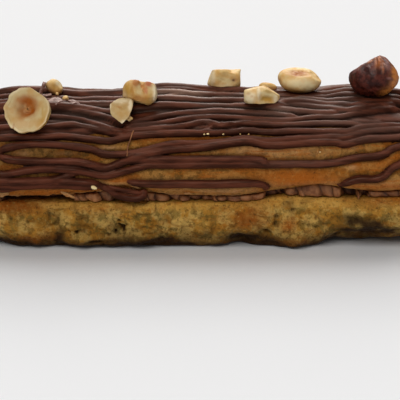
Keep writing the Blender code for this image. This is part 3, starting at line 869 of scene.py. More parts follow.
@dataclass(frozen=True)
class FlakeFinish:
    """Papery flake of nut skin with chocolate on it."""

    name: str = "flake"
    grey: Triple = srgb(164, 130, 120)
    brown: Triple = srgb(110, 66, 52)
    rough: Pair = (0.35, 0.55)
    specular: float = 0.5

    def build(self) -> Material:
        """Make the material."""
        s = Sketch(self.name, self.brown)
        s.over(s.between(s.grain(1.2, 3.0), 0.4, 0.6), self.grey)
        normal = s.bump(s.grain(0.4, 3.0), 0.08, 0.7)
        return s.done(s.worn(s.grain(0.8), self.rough), normal, self.specular)


@dataclass(frozen=True)
class FloorFinish:
    """Plain pale floor."""

    name: str = "floor"
    tone: Triple = srgb(236, 240, 246)
    rough: float = 0.9

    def build(self) -> Material:
        """Make the material."""
        s = Sketch(self.name, self.tone)
        s.plug(s.shader, Base_Color=(*self.tone, 1.0), Roughness=self.rough)
        return s.material


class Finish(Enum):
    """The finishes that pieces can take."""

    CHOUX = ChouxFinish()
    CRUST = ChouxFinish(name="crust", pale=srgb(180, 128, 62), gold=srgb(158, 98, 30),
                        olive=srgb(108, 78, 30), crumb=srgb(86, 50, 20),
                        toasted=srgb(182, 98, 24), burnt_and_shade=srgb(40, 20, 9),
                        ripe_and_highlight=srgb(214, 160, 106), streaks=0.6, drawn_out=0.12, pores=0.06,
                        speckle=0.4)
    CHOCOLATE = ChocolateFinish()
    CREAM = CreamFinish()
    NUT = NutFinish()
    NUT_SKIN = SkinFinish()
    FLAKE = FlakeFinish()
    FLOOR = FloorFinish()

    @cached_property
    def material(self) -> Material:
        """The finish's material, built when it is first asked for."""
        return self.value.build()


def hand_in(piece: Object, finish: Finish, replaces: Sequence[str] = ()) -> None:
    """Dress a piece, fix it to the eclair's body and hide the solids that it stands for.

    Args:
        piece: The piece.
        finish: Its finish.
        replaces: Names of the solids that it replaces.
    """
    piece.data.materials.append(finish.material)
    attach(piece, "root")
    if replaces:
        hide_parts(*replaces)
    LOG.info("%s: %d faces", piece.name, len(piece.data.polygons))


# ---- the shell's base ----
@dataclass
class ChouxBase:
    """Lower half of the shell: knobbly, porous choux with a flat foot."""

    stations: int = 440
    ring: int = 200
    lump: float = 1.2
    crease: Triple = (-41.5, 2.6, 1.2)
    # Hollows as (along X, height, length, tallness, depth).
    hollows: Patches = ((14.0, 3.2, 6.0, 2.2, 1.6), (50.0, 4.2, 5.0, 2.4, 1.6))
    # Places tucked under at the front, as (along X, width, depth).
    left_tuck: Triple = (-56.0, 4.0, 4.0)
    right_tuck: Triple = (35.8, 5.0, 7.2)
    middle_tuck: Triple = (10.5, 4.0, 3.4)
    # Toasted patches as (along X, height, length, tallness, strength), then darker ones: mostly painted
    # shade under bulges and ledges and in tucks, some a darker tone.
    toasts: Patches = (
        (-46, 3.4, 6.5, 2.4, 0.75), (-43, 5, 3, 3, 0.4), (13.8, 10, 5.5, 3.4, 0.95),
        (25.4, 7.8, 2.2, 1.8, 1), (-54, 13.2, 11, 1.7, 1), (54, 13.6, 9, 1, 0.8), (28, 2, 7, 2, 0.7),
        (-30, 12.6, 9, 1.4, 0.4), (50, 3, 9, 2, 0.5))
    shades: Patches = (
        (-13, 2.6, 10, 1.6, 0.4), (13, 3.5, 5.4, 1.3, 0.9), (49, 6, 9.5, 2.8, 0.95),
        (-40.5, 5, 1.4, 4, 0.55), (43, 8.6, 5, 2.2, 0.45), (-25, 7.6, 2.8, 2.6, 0.5),
        (50.5, 6, 2.4, 1.3, 0.92), (45, 4.8, 1.4, 0.8, 0.8), (25.4, 12.6, 1.6, 1.2, 0.6),
        (-33, 8, 5, 1.6, 0.3), (3.6, 8, 1, 3, 0.5), (-49, 9, 8, 1.6, 0.25), (-56, 1, 8, 1.6, 0.5),
        (-5, 1.2, 6, 1.2, 0.3), (-52, 12.8, 11, 1.6, 0.32), (13.8, 9.6, 5, 3, 0.26),
        (48, 8.2, 9, 1.9, 0.75), (1.8, 5.4, 3.2, 1.8, 0.35), (-20, 3.4, 8, 1.2, 0.3))
    # Rounded mounds between the creases as (along X, height, length, tallness, rise).
    mounds: Patches = (
        (-37, 10.4, 3.2, 2.4, 0.5), (0.2, 7.7, 3.4, 3.2, 0.8), (24.4, 7.7, 3, 2.8, 0.6),
        (33, 10, 3.6, 3, 0.6), (-34.4, 3.6, 4, 1.6, 0.6), (-46.5, 5.4, 4, 3.2, 0.5),
        (-16, 3.4, 5, 1.6, 0.5), (-6.4, 9.8, 3, 2, 0.4), (50, 12.2, 9, 1.5, 0.9),
        (13.6, 9.6, 4.8, 3.2, 0.7), (55, 4, 3, 2.2, 0.5), (-25, 12, 3, 1.2, 0.3), (-54, 8, 4, 2.6, 0.4),
        (42, 13, 5, 1.6, 0.6), (-55, 13, 12, 1.2, 0.5), (27, 3, 5, 1.8, 0.5), (-25, 3, 4, 1.5, 0.4),
        (2, 1.4, 6, 1.2, 0.5))
    # Short slits as (along X, height, length, tallness, depth).
    slits: Patches = (
        (3.4, 8.4, 0.9, 1.6, 0.2), (21.9, 8.8, 0.9, 1.9, 0.7), (-4.4, 6, 0.8, 1.6, 0.2),
        (19, 5.6, 1.1, 0.6, 0.7), (31.2, 7.6, 0.5, 1, 0.6), (33.4, 7.2, 1.2, 0.4, 0.5),
        (-43.2, 10.6, 0.6, 1.8, 0.5), (-30, 2.6, 3, 0.5, 0.5), (26.3, 12.3, 0.9, 0.8, 0.6),
        (44, 10.2, 3.6, 0.7, 0.3), (-14.4, 5.2, 1.6, 0.5, 0.4), (-14.4, 9, 1.4, 0.4, 0.4))
    # Pits as (along X, height, radius, depth).
    pits: Patches = (
        (-23.2, 9, 0.5, 1), (-22.1, 7.1, 0.8, 1.5), (-21.8, 6, 0.6, 1.3), (-24.2, 5.8, 0.55, 1.1),
        (-23.1, 7.8, 0.5, 1.1), (-26.1, 7.4, 0.5, 0.6), (-27, 6.6, 0.45, 0.5), (-35.3, 5.8, 0.6, 1.1),
        (-37.5, 6.1, 0.4, 0.5), (-31.4, 13, 0.5, 0.6), (-29.8, 11.4, 0.4, 0.5), (22, 9.8, 0.9, 0.7),
        (21.6, 8.4, 0.9, 0.8), (24.6, 12.4, 1.1, 0.5), (26.6, 11.2, 0.9, 0.5), (50.6, 5.8, 1.2, 1.7),
        (48.9, 6.2, 0.8, 1.2), (43.8, 5.4, 0.7, 1.1), (-27.9, 1.6, 0.5, 0.6), (19, 6, 0.45, 0.5),
        (30.2, 8.6, 0.5, 0.5), (33, 9.6, 0.45, 0.5), (-54, 9.6, 0.5, 0.5), (-49.5, 8.8, 0.45, 0.5),
        (-34, 9.4, 0.5, 0.5), (6.6, 9.6, 0.5, 0.5), (-9, 9, 0.5, 0.4), (-2.5, 7.4, 0.6, 0.4))
    scattered: int = 900
    scatter_heights: Pair = (1.5, 12.8)
    tightness: float = 0.35  # how much closer together the rings are at the tips
    foot_shade: float = 4.4  # height over which the foot is painted darker, as painted shade with some browning
    grain: Grain = Grain(SEED + 1)

    def section(self, around: Array) -> tuple[Array, Array]:
        """Points of the base's section.

        Args:
            around: Share of a turn, from the middle of the foot by the back.

        Returns:
            Across and height of each.
        """
        bulge = FORM.base_half_width - FORM.base_foot_half_width
        angle = np.radians(np.linspace(-90, FORM.base_rim_angle, 60))
        share = np.sin(angle) / math.sin(math.radians(FORM.base_rim_angle))
        above = FORM.base_widest + (FORM.base_top - FORM.base_widest) * share
        height = np.where(angle < 0, FORM.base_widest * (1 + np.sin(angle)), above)
        across = FORM.base_foot_half_width + bulge * np.cos(angle) ** 0.8
        y = np.concatenate(([0.0], across, [0.0], -across[::-1], [0.0]))
        z = np.concatenate(([0.0], height, [FORM.base_top], height[::-1], [0.0]))
        weight = np.where((z[1:] > 0.01) & (z[:-1] < FORM.base_top - 0.01), 1.0, 0.3)
        return on_outline(as_points(y, z), weight, around)

    def height(self, x: Array, z: Array) -> Array:
        """Heights of the section's points where they lie along the loaf.

        Args:
            x: Places along the loaf.
            z: Heights in the section.

        Returns:
            The heights.
        """
        share = (z - FORM.base_widest) / (FORM.base_top - FORM.base_widest)
        rise = (FORM.top_of_base(x) - FORM.base_widest) * FORM.taper(x, FORM.flat_power)
        drop = (FORM.base_widest - z) * FORM.taper(x, FORM.foot_power)
        return FORM.base_widest + np.where(z > FORM.base_widest, share * rise, -drop)

    def coarse_relief(self, spot: Array) -> Array:
        """The relief that the part's own solid has.

        Args:
            spot: Places on the smooth base, one a row.

        Returns:
            How far the choux stands out.
        """
        x, y, z = spot.T
        near = np.where(y < 0, 1.0, 0.3)
        relief = self.lump * (knobs(spot, 9.0, SEED) + 0.5 * knobs(spot, 4.5, SEED + 7))
        relief -= near * (humps(x, [self.crease]) + sum(patches(self.hollows, x, z)))
        calm = np.where(z > FORM.base_top - 1.5, 0.35, 1.0)
        return relief * calm * np.minimum(1.0, 1.2 * FORM.taper(x, 2.0))

    def fine_relief(self, spot: Array, creases: Array) -> Array:
        """Wrinkles and small knobs on top of the coarse relief.

        Args:
            spot: Places on the smooth base, one a row.
            creases: 1 in a winding crease and 0 away from it.

        Returns:
            How far the choux stands out.
        """
        bulge = self.grain.layered(spot * (0.75, 1.0, 1.0), 5.0, 2)
        relief = 0.8 * bulge - 0.65 * creases + 0.42 * self.grain.layered(spot + 5.0, 2.6, 2)
        relief += 0.26 * self.grain.layered(spot, 1.5, 3)
        x, y, z = spot.T
        shaped = sum(patches(self.mounds, x, z)) - sum(patches(self.slits, x, z))
        return relief + np.where(y < 0, 1.6 * shaped, 0.0)

    def creases(self, spot: Array) -> Array:
        """Winding creases between the knobs.

        Args:
            spot: Places on the smooth base, one a row.

        Returns:
            1 in a crease and 0 away from it.
        """
        winding = self.grain.at(spot * (0.8, 1.0, 1.15) + 31.0, 4.6)
        patchy = np.clip(0.5 + self.grain.at(spot + 11.0, 9.0), 0, 1) * step_up(spot[:, 2], 3.6, 1.6)
        return np.exp(-((winding / 0.1) ** 2)) * patchy

    def tucked(self, x: Array, y: Array, z: Array) -> Array:
        """The smooth base, with its foot drawn in where the front is tucked under.

        Args:
            x: Places along the loaf.
            y: Across the section.
            z: Heights in the section.

        Returns:
            The points, one a row.
        """
        end = FORM.taper(x, FORM.end_power)
        spot = as_points(x, y * end, self.height(x, z))
        tuck = self.left_tuck[2] * (1 - step_up(x, *self.left_tuck[:2]))
        tuck += self.right_tuck[2] * step_up(x, *self.right_tuck[:2])
        tuck += humps(x, [self.middle_tuck])
        pulled = np.minimum(0.0, spot[:, 1] + tuck * (1 - z / FORM.base_widest) * end)
        spot[:, 1] = np.where((y < 0) & (z < FORM.base_widest), pulled, spot[:, 1])
        return spot

    def pores(self, spot: Array) -> tuple[Array, Array]:
        """Relief of the pits that show, and of many small ones scattered by the seed.

        Args:
            spot: Places on the smooth base, one a row.

        Returns:
            Both reliefs, below zero in a pit.
        """
        x, height, radii, depths = np.array(self.pits).T
        shown = shape_pits(spot, self.on_side(x, height), radii, depths)
        draw = np.random.default_rng(SEED + 5)
        count = self.scattered
        x = draw.uniform(-FORM.pit_reach, FORM.pit_reach, count)
        height = draw.uniform(*self.scatter_heights, count)
        centres = self.on_side(x, height, draw.choice((-1.0, 1.0), count))
        radii = 0.18 + 0.4 * draw.random(count) ** 2
        return shown, shape_pits(spot, centres, radii, radii * draw.uniform(0.3, 0.9, count))

    def build(self) -> None:
        """Make the base."""
        bm, along, around = loaf_grid(self.stations, self.ring)
        x = spread(along, self.tightness)
        y, z = self.section(around)
        spot = self.tucked(x, y, z)
        creases = self.creases(spot)
        fine = self.fine_relief(spot, creases)
        shown, small = self.pores(spot)
        rim = np.clip(z / 1.2, 0, 1) * np.clip((FORM.base_top - z) / 0.8, 0, 1)
        relief = (self.coarse_relief(spot) + fine + shown + small) * rim
        outward = as_points(0.0, np.where(y < 0, -1.0, 1.0), 0.03 * (z - FORM.base_widest))
        set_points(bm.verts, spot + outward * relief[:, None])
        # Pits and creases are painted darker: painted shade.
        pitted = np.clip(-0.9 * (shown + 0.4 * small) - 0.1, 0, 0.9)
        dark = np.maximum(pitted, 0.32 * creases)
        marks = self.marks(spot, y, z, dark, 0.25 * np.clip(-fine, 0, 1))
        hand_in(finish_mesh("choux_base", bm, marks), Finish.CHOUX, ("base",))

    def marks(self, spot: Array, y: Array, z: Array, dark: Array, sunk: Array) -> dict[str, Array]:
        """Toasted places, painted shade, and golden places that carry a painted highlight, for the finish
        to read.

        Args:
            spot: Places on the smooth base, one a row.
            y: Across the section.
            z: Heights in the section.
            dark: Painted shade in pits and creases.
            sunk: Painted shade that darkens the low places.

        Returns:
            The named marks.
        """
        x = spot[:, 0]

        def strongest(spots: Patches) -> Array:
            return np.maximum.reduce(patches(spots, x, z)) * np.where(y < 0, 1.0, 0.6)

        torn = 1 + 0.5 * self.grain.layered(spot, 3.0, 3)
        toast = np.maximum(strongest(self.toasts) * torn, 0.5 * np.exp(-z / 1.8))
        # Shade patches and slits add painted shade, and some patches a darker tone.
        dark = np.maximum.reduce((dark, strongest(self.shades) * torn, 0.6 * strongest(self.slits)))
        # Darker towards the foot, as painted shade with some browning, and in the low places as painted
        # shade.
        uneven = np.clip(1 + 0.6 * self.grain.at(spot + 3.0, 10.0), 0.4, 1.3)
        foot = np.exp(-((z / self.foot_shade) ** 2)) * uneven
        dark += (0.9 - 0.2 * hump(x, -50.0, 7.0) - 0.25 * hump(x, 52.0, 9.0)) * foot + sunk
        # The top rim and the mounds are painted lighter and golden: painted highlight where they catch
        # the light.
        ripe_and_highlight = 0.75 * hump(z, 13.4, 1.5) * (1 - toast) * np.clip(0.6 + 0.5 * torn, 0, 1.2)
        ripe_and_highlight = np.maximum(ripe_and_highlight, 0.5 * strongest(self.mounds))
        return {"toast": np.clip(toast, 0, 1), "dark": np.clip(dark, 0, 0.95),
                "ripe_and_highlight": np.clip(ripe_and_highlight, 0, 0.9)}

    def on_side(self, x: Array, height: Array, side: Array | float = -1.0) -> Array:
        """Places on the smooth side of the base.

        Args:
            x: Places along the loaf.
            height: Heights in the section.
            side: -1 for the front and 1 for the back.

        Returns:
            The places, one a row.
        """
        y, z = self.section(np.linspace(0, 0.5, 400))
        rising = (z > 0.05) & (y > FORM.base_foot_half_width - 0.1)
        across = np.interp(height, z[rising], y[rising]) * FORM.taper(x, FORM.end_power)
        return as_points(x, side * across, self.height(x, height))


# ---- the cream ----
@dataclass
class PralineCream:
    """The piped layer that shows in the cut."""

    stations: int = 1100
    ring: int = 72
    inset: float = 2.2
    clearance: float = 0.35
    rib: float = 0.5
    rib_pitch: float = 4.6
    # Creases between the piped ribbons that show, along X.
    creases: tuple[float, ...] = (
        -38.5, -35.0, -32.1, -28.7, -24.7, -20.0, -15.2, -12.6, -8.6, -5.7, -2.9, 0.6, 3.7, 4.6, 8.0,
        11.5, 14.9, 18.7, 22.1, 23.8, 27.8, 29.8, 34.4, 38.2, 40.8, 44.7, 45.7, 48.2, 53.1, 57.4)
    # Thin upright ribs in front of the rest, as (along X, half width, rise).
    pillars: tuple[Triple, ...] = ((4.1, 0.4, 0.5), (45.2, 0.4, 3.2))
    lean: float = 1.2
    hollows: Patches = (
        (-56, -36.5, 4.5), (-24.6, -15.3, 1.2), (-8.7, -5.8, 1.2), (-2.9, 3.6, 1.8), (19, 24.2, 1.8),
        (40.5, 45, 2.2), (46.6, 48, 2))
    grain: Grain = Grain(SEED + 2)

    def section(self, around: Array) -> tuple[Array, Array]:
        """Points of the slab's section.

        Args:
            around: Share of a turn, from the middle of its underside by the back.

        Returns:
            Across, and share of the gap's height, of each.
        """
        half = FORM.lid_half_width - self.inset
        edge = [(half, 0.06), (half + 0.25, 0.3), (half + 0.3, 0.55), (half + 0.2, 0.8), (half, 0.95)]
        right = [(0.0, 0.0), (half - 1.0, 0.0)] + edge + [(half - 1.0, 1.0), (0.0, 1.0)]
        left = [(-y, z) for y, z in reversed(right[1:-1])]
        outline = np.array(right + left + [right[0]])
        weight = np.where(np.abs(outline[1:, 0]) + np.abs(outline[:-1, 0]) > 2 * half - 4, 8.0, 0.35)
        return on_outline(outline, weight, around)

    def build(self) -> None:
        """Make the cream."""
        bm, along, around = loaf_grid(self.stations, self.ring)
        x = spread(along, 0.3) * 0.975
        y, share = self.section(around)
        front = y < 0
        low = FORM.top_of_base(x) + 0.6 * self.clearance
        high = FORM.under_lid(x) - 0.6 * self.clearance
        lean = self.lean * (1 - 0.7 * hump(x, 5.0, 20.0))
        slanted = x + lean * (share - 0.5) + 0.3 * np.sin(x * 0.9) + 0.25 * np.sin(share * 5 + x)
        ribbon = self.ribbons(np.where(front, slanted, slanted + 2.0))
        phase = x / self.rib_pitch + 0.2 * np.sin(x * 0.21)
        depth = -0.5 * self.rib * np.cos(2 * math.pi * phase) + 0.75 * ribbon - 0.5
        depth += np.where(front, humps(x, self.pillars), 0.0)
        for start, end, recess in self.hollows:
            depth -= np.where(front, recess * step_up(x, start, 0.8) * (1 - step_up(x, end, 0.8)), 0.0)
        set_back = 1.2 + 1.4 * knobs(as_points(x, 0.0, 0.0), 9.0, SEED + 3)
        depth -= np.where(y > 0, set_back, 0.0)
        depth += 0.16 * self.grain.layered(as_points(x, y, share * 0.6), 1.5, 3)
        outer = np.abs(y) > FORM.lid_half_width * 0.6
        wide = (np.abs(y) + np.where(outer, depth, 0.0)) * FORM.taper(x, FORM.end_power)
        middle = 0.5 * (low + high)
        tall = middle + (low + (high - low) * share - middle) * FORM.taper(x, 8.0)
        set_points(bm.verts, as_points(x, np.sign(y) * wide, tall))
        # Creases between ribbons and recessed places are painted darker: painted shade.
        fold_shade = 0.5 * np.clip(1 - ribbon, 0, 1.6) ** 1.6 + 0.3 * np.clip(-depth - 0.7, 0, 2.4)
        piece = finish_mesh("praline_cream", bm, {"fold_shade": np.clip(fold_shade, 0, 0.95)})
        hand_in(piece, Finish.CREAM, ("filling",))

    def ribbons(self, along: Array) -> Array:
        """Rounded ribbons of cream between sharp creases.

        Args:
            along: Places along the loaf, slanted as the ribbons lean.

        Returns:
            0 in a crease and 1 on a broad ribbon.
        """
        draw = random.Random(SEED + 9)
        edges = list(self.creases)
        while edges[0] > -80:
            edges.insert(0, edges[0] - draw.uniform(2.4, 4.4))
        while edges[-1] < 80:
            edges.append(edges[-1] + draw.uniform(2.4, 4.4))
        line = np.array(edges)
        index = np.clip(np.searchsorted(line, along) - 1, 0, len(line) - 2)
        gap = line[index + 1] - line[index]
        share = np.clip((along - line[index]) / gap, 0, 1)
        set_back = np.array([draw.uniform(-0.15, 0.75) for _ in line])[index]
        return np.sin(math.pi * share) ** 0.55 * np.minimum(1.0, 0.45 + gap / 5.0) - set_back


# ---- the lid's crust ----
@dataclass
class LidCrust:
    """Upper half of the shell, which shows between the strands."""

    stations: int = 420
    ring: int = 236
    ragged: float = 0.75
    dome: float = 0.86  # share of a ring that is over the crust, and not under the lid
    pit_count: int = 180
    tightness: float = 0.35
    # Toasted patches as (along X, up the lid, length, width, strength).
    toasts: Patches = (
        (27, 1.4, 13, 3, 1), (-22, 1.6, 5, 2, 0.7), (-45, -3, 16, 1.6, 0.9), (-12, 13, 7, 1.4, 1),
        (-24, 1.4, 3, 1.6, 0.9), (22, 16, 6, 1, 0.9), (52, 5.5, 8, 2.4, 0.7), (8, 2.4, 9, 1.4, 0.4),
        (50, -1.6, 12, 1.6, 0.8), (-2, 13.2, 10, 1, 0.8))
    # Pale crumbly patches, alike.
    pales: Patches = (
        (22, 9.6, 16, 2.4, 0.6), (-26.4, 10.2, 3.2, 0.5, 0.9), (-10, 12.9, 3.6, 0.25, 1),
        (-50.5, 8.4, 2.6, 0.9, 0.7), (42.5, 10.2, 4, 0.8, 0.5), (43, 4.6, 2, 0.9, 0.6),
        (8, -2.4, 10, 1.2, 0.6), (33.4, 8.9, 0.5, 0.4, 1), (-38, 8.6, 3, 0.5, 0.4))
    grain: Grain = Grain(SEED + 3)

    def relief(self, spot: Array, up: Array) -> Array:
        """Lengthwise grooves, wrinkles and pores.

        Args:
            spot: Places on the smooth crust, one a row.
            up: Arc up the section of each.

        Returns:
            How far the crust stands out.
        """
        drawn_out = spot * (0.22, 1.0, 1.0)
        grooves = 0.16 * np.cos(up * 2 * math.pi / 5.2 + 1.2 * self.grain.at(drawn_out, 9.0))
        streaks = 0.14 * self.grain.layered(drawn_out, 2.0, 3)
        return grooves + streaks + 0.07 * self.grain.layered(spot, 1.4, 2)

    def pits(self, spot: Array) -> Array:
        """Relief of small pits scattered by the seed, below zero in a pit.

        Args:
            spot: Places on the smooth crust, one a row.

        Returns:
            The relief.
        """
        draw = np.random.default_rng(SEED + 6)
        count = self.pit_count
        x = draw.uniform(-FORM.pit_reach, FORM.pit_reach, count)
        up = np.where(draw.random(count) < 0.6, draw.uniform(-3, 18, count),
                      BACK_ARC - draw.uniform(-3, 12, count))
        radii = draw.uniform(0.2, 0.5, count)
        depths = radii * draw.uniform(0.3, 0.8, count)
        return shape_pits(spot, crust_point(x, up)[0], radii, depths)

    def build(self, strands: "ChocolateStrands") -> None:
        """Make the crust.

        Args:
            strands: The chocolate that lies on it, beside which the crust gets painted shade.
        """
        bm, along, around = loaf_grid(self.stations, self.ring)
        x = spread(along, self.tightness)
        arc = np.clip(around / self.dome, 0, 1) * GIRTH
        up = arc - LIP_ARC
        under = around > self.dome
        spot, normal = crust_point(x, up)
        pits = self.pits(spot)
        points = spot + normal * (self.relief(spot, up) + pits)[:, None]
        share = np.clip((around - self.dome) / (1 - self.dome), 0, 1)
        lip = FORM.lid_widest - FORM.lid_under
        edge = (FORM.lid_half_width - lip) * FORM.taper(x, FORM.end_power)
        drop = (FORM.lid_widest - FORM.under_lid(x)) * FORM.taper(x, FORM.flat_power)
        flat = as_points(x, edge * (1 - 2 * share), FORM.lid_widest - drop)
        points = np.where(under[:, None], flat, points)
        from_edge = np.where(under, np.minimum(share, 1 - share) / 0.04, np.minimum(arc, GIRTH - arc))
        line = as_points(x, 7 * np.sign(points[:, 1]), 0.0)
        ragged = np.exp(-(from_edge**2)) * self.grain.layered(line, 2.2, 4)
        points[:, 2] += self.ragged * ragged * np.minimum(1.0, FORM.taper(x, 4.0))
        set_points(bm.verts, points)
        toast = np.maximum.reduce(patches(self.toasts, x, up))
        # Painted shade: under the lid, in pits, over the left end and beside the strands.
        dark = np.where(under, 0.3, np.clip(-pits - 0.08, 0, 0.3))
        dark = np.maximum(dark, 0.48 * (1 - step_up(x, -30.0, 5.0)) * step_up(up, 3.0, 2.0))
        dark = np.maximum(dark, np.where(under, 0.0, 0.62 * strands.beside(x, up)))
        ripe_and_highlight = 0.9 * hump(up, -LIP_ARC + 0.6, 1.2) + 0.4 * hump(up, -1.0, 2.0)
        ripe_and_highlight = np.maximum.reduce([ripe_and_highlight, *patches(self.pales, x, up)])
        ripe_and_highlight *= 1 + 0.5 * self.grain.layered(spot, 1.6, 3)
        ripe_and_highlight = np.where(under, 0.0, np.clip(ripe_and_highlight, 0, 0.9))
        piece = finish_mesh("lid_crust", bm, {"toast": toast, "dark": dark, "ripe_and_highlight": ripe_and_highlight})
        hand_in(piece, Finish.CRUST, ("lid",))


# ---- the chocolate ----
FRONT_STRANDS = (
    ((-66, 0.6), (-57, -1.3), (-51, -0.5), (-42, -0.5), (-34, -0.8), (-28.5, -1.2)),
    ((-66, 2.6), (-57, 0.5), (-44, 0.7), (-40.8, 1), (-38, 1.9), (-35, 2.8)),
    ((-40.8, 0.2), (-37, 0.5), (-31.2, 0), (-27.2, -1)),
    ((-64, 4.4), (-56.5, 2.4), (-48, 3.7), (-41, 4), (-34, 3.5), (-28.3, 2.3), (-25.5, 2.4),
     (-17, 4.6), (-12, 5.2), (8.5, 5.4), (34.5, 5.6), (44, 7.2), (51, 7.9), (55.3, 10.2), (66, 13)),
    ((-57, 8.5), (-55.6, 7.3), (-51, 6.4), (-35.3, 6.1), (-28.3, 4.5), (-26.3, 4.3), (-21, 6.2),
     (-14, 6.6), (13.6, 6.8), (19.2, 5.4)),
    ((-57, 8.6), (-55.6, 9.8), (-49.5, 11), (-39.6, 10.9), (-31.7, 9.9), (-27.4, 8.5),
     (-24.9, 8.2), (-19.2, 8.5), (-8.5, 11), (4.2, 11.6), (12.8, 12.9), (20.4, 12.3),
     (36.8, 13.2), (41, 13), (47, 14.6), (56, 15.6), (66, 17.5)),
    ((-21.5, 6.4), (-12.7, 8.6), (-7.1, 9.7), (1.4, 10.2), (12.7, 11.8), (19.8, 10.9),
     (36.8, 11.7), (41, 11.1), (47, 12.4), (56, 13.2), (66, 15)),
    ((-20.4, 0.4), (-17.9, -0.1), (-7, -0.3), (8.5, 0), (14.2, 0), (17.2, -0.3), (19, -1.3),
     (18.6, -2.6)),
    ((39.2, -1.2), (44.5, 1), (51, 1.4), (55.3, 4.8), (66, 9)),
    ((-65, 13.5), (-56.6, 13.2), (-44, 13.4), (-38.3, 13.8), (-31.2, 12.9), (-25.5, 12.3),
     (-20.4, 13.6), (-10, 14.3), (0, 14.6), (2, 15.2), (4.2, 14.8), (14.2, 15.5), (19.9, 15),
     (36.9, 15.1), (42, 14.8), (47, 16.2), (56, 17), (65, 19.5)),
    ((-65, 17.5), (-57, 16.6), (-44, 16.8), (-37, 17.7), (-34.2, 17.4), (-25.5, 15), (-21, 13.7)),
    ((-62, 21.5), (-57, 20.5), (-37.2, 20.6), (-31.4, 18.6), (-23.3, 15.1), (-20.4, 15.2),
     (-8.5, 16), (0, 18.2), (2.8, 18.1), (6.2, 17.1), (12.8, 18.3), (25.6, 17.2), (34.8, 18.1),
     (39.9, 17.8), (45.5, 16.7)),
    ((-21.6, 16.1), (-18.5, 17), (-10, 17.8), (0.8, 20.3), (11.4, 20.2), (24.2, 18.9),
     (34.3, 20.5), (41.5, 20.4), (51.7, 23.5), (57, 25)),
    ((-63, 25.5), (-57.5, 24.9), (-49, 24), (-37.6, 25.3), (-26.3, 21.2), (-22.8, 18.6),
     (-19.9, 18.4), (-1.4, 22.1), (11.5, 22.8), (24.3, 20.9), (27.7, 19.8)),
    ((17.9, 24.8), (28.7, 22.6), (40.1, 21.7)),
    ((23.1, 26.6), (34.6, 24.8), (43.6, 22.3), (50.3, 24.5), (57, 27)),
    ((17.9, 26.5), (27.5, 27.1), (36.1, 26.5), (43.7, 24.3), (49, 23)),
    ((-62, 26.5), (-49, 25.1), (-36.2, 26), (-28.8, 24.5), (-21.5, 24.7), (-10, 24.8), (5.7, 25.5),
     (17.9, 25.9), (25, 25.1)),
    ((-62, 31), (-49.3, 28.3), (-36.5, 30.1), (-24.7, 30.2), (-10, 29), (0, 29), (12, 30.3),
     (30, 28.9), (42, 28.1), (50, 27.1), (63, 29.2)),
    ((-62, 35.5), (-46.7, 31.6), (-35.3, 34.6), (-23.3, 33.9), (-13, 34.9), (-4, 33.4), (5.8, 35.3),
     (18, 33.3), (30, 31.6), (39.5, 32.2), (49.3, 30.4), (63, 33.4)),
    ((-63, 39), (-45, 37.4), (-30, 38.6), (-12, 38.2), (6, 39.3), (24, 37), (42, 36), (63, 37.8)),
)


def smooth_route(knots: Sequence[Vector], step: float) -> list[Vector]:
    """Catmull-Rom curve through the knots.

    Args:
        knots: Points that the curve passes.
        step: Distance between the points it returns.

    Returns:
        Points along the curve.
    """
    points = [knots[0] * 2 - knots[1], *knots, knots[-1] * 2 - knots[-2]]
    route = []
    for before, start, end, after in zip(points, points[1:], points[2:], points[3:]):
        pieces = max(1, round((end - start).length / step))
        for piece in range(pieces):
            t = piece / pieces
            bend = 2 * before - 5 * start + 4 * end - after
            twist = 3 * start - before - 3 * end + after
            route.append(start + ((end - before) * t + bend * t**2 + twist * t**3) * 0.5)
    route.append(points[-2])
    return route


def blurred(heights: Array, kernel: Array) -> Array:
    """Blur a field of heights up the lid.

    Args:
        heights: The field.
        kernel: An odd number of weights, of any sum.

    Returns:
        The blurred field.
    """
    reach = len(kernel) // 2
    padded = np.pad(heights, ((0, 0), (reach, reach)), mode="edge")
    return sum(weight * padded[:, i:i + heights.shape[1]]
               for i, weight in enumerate(kernel / kernel.sum()))


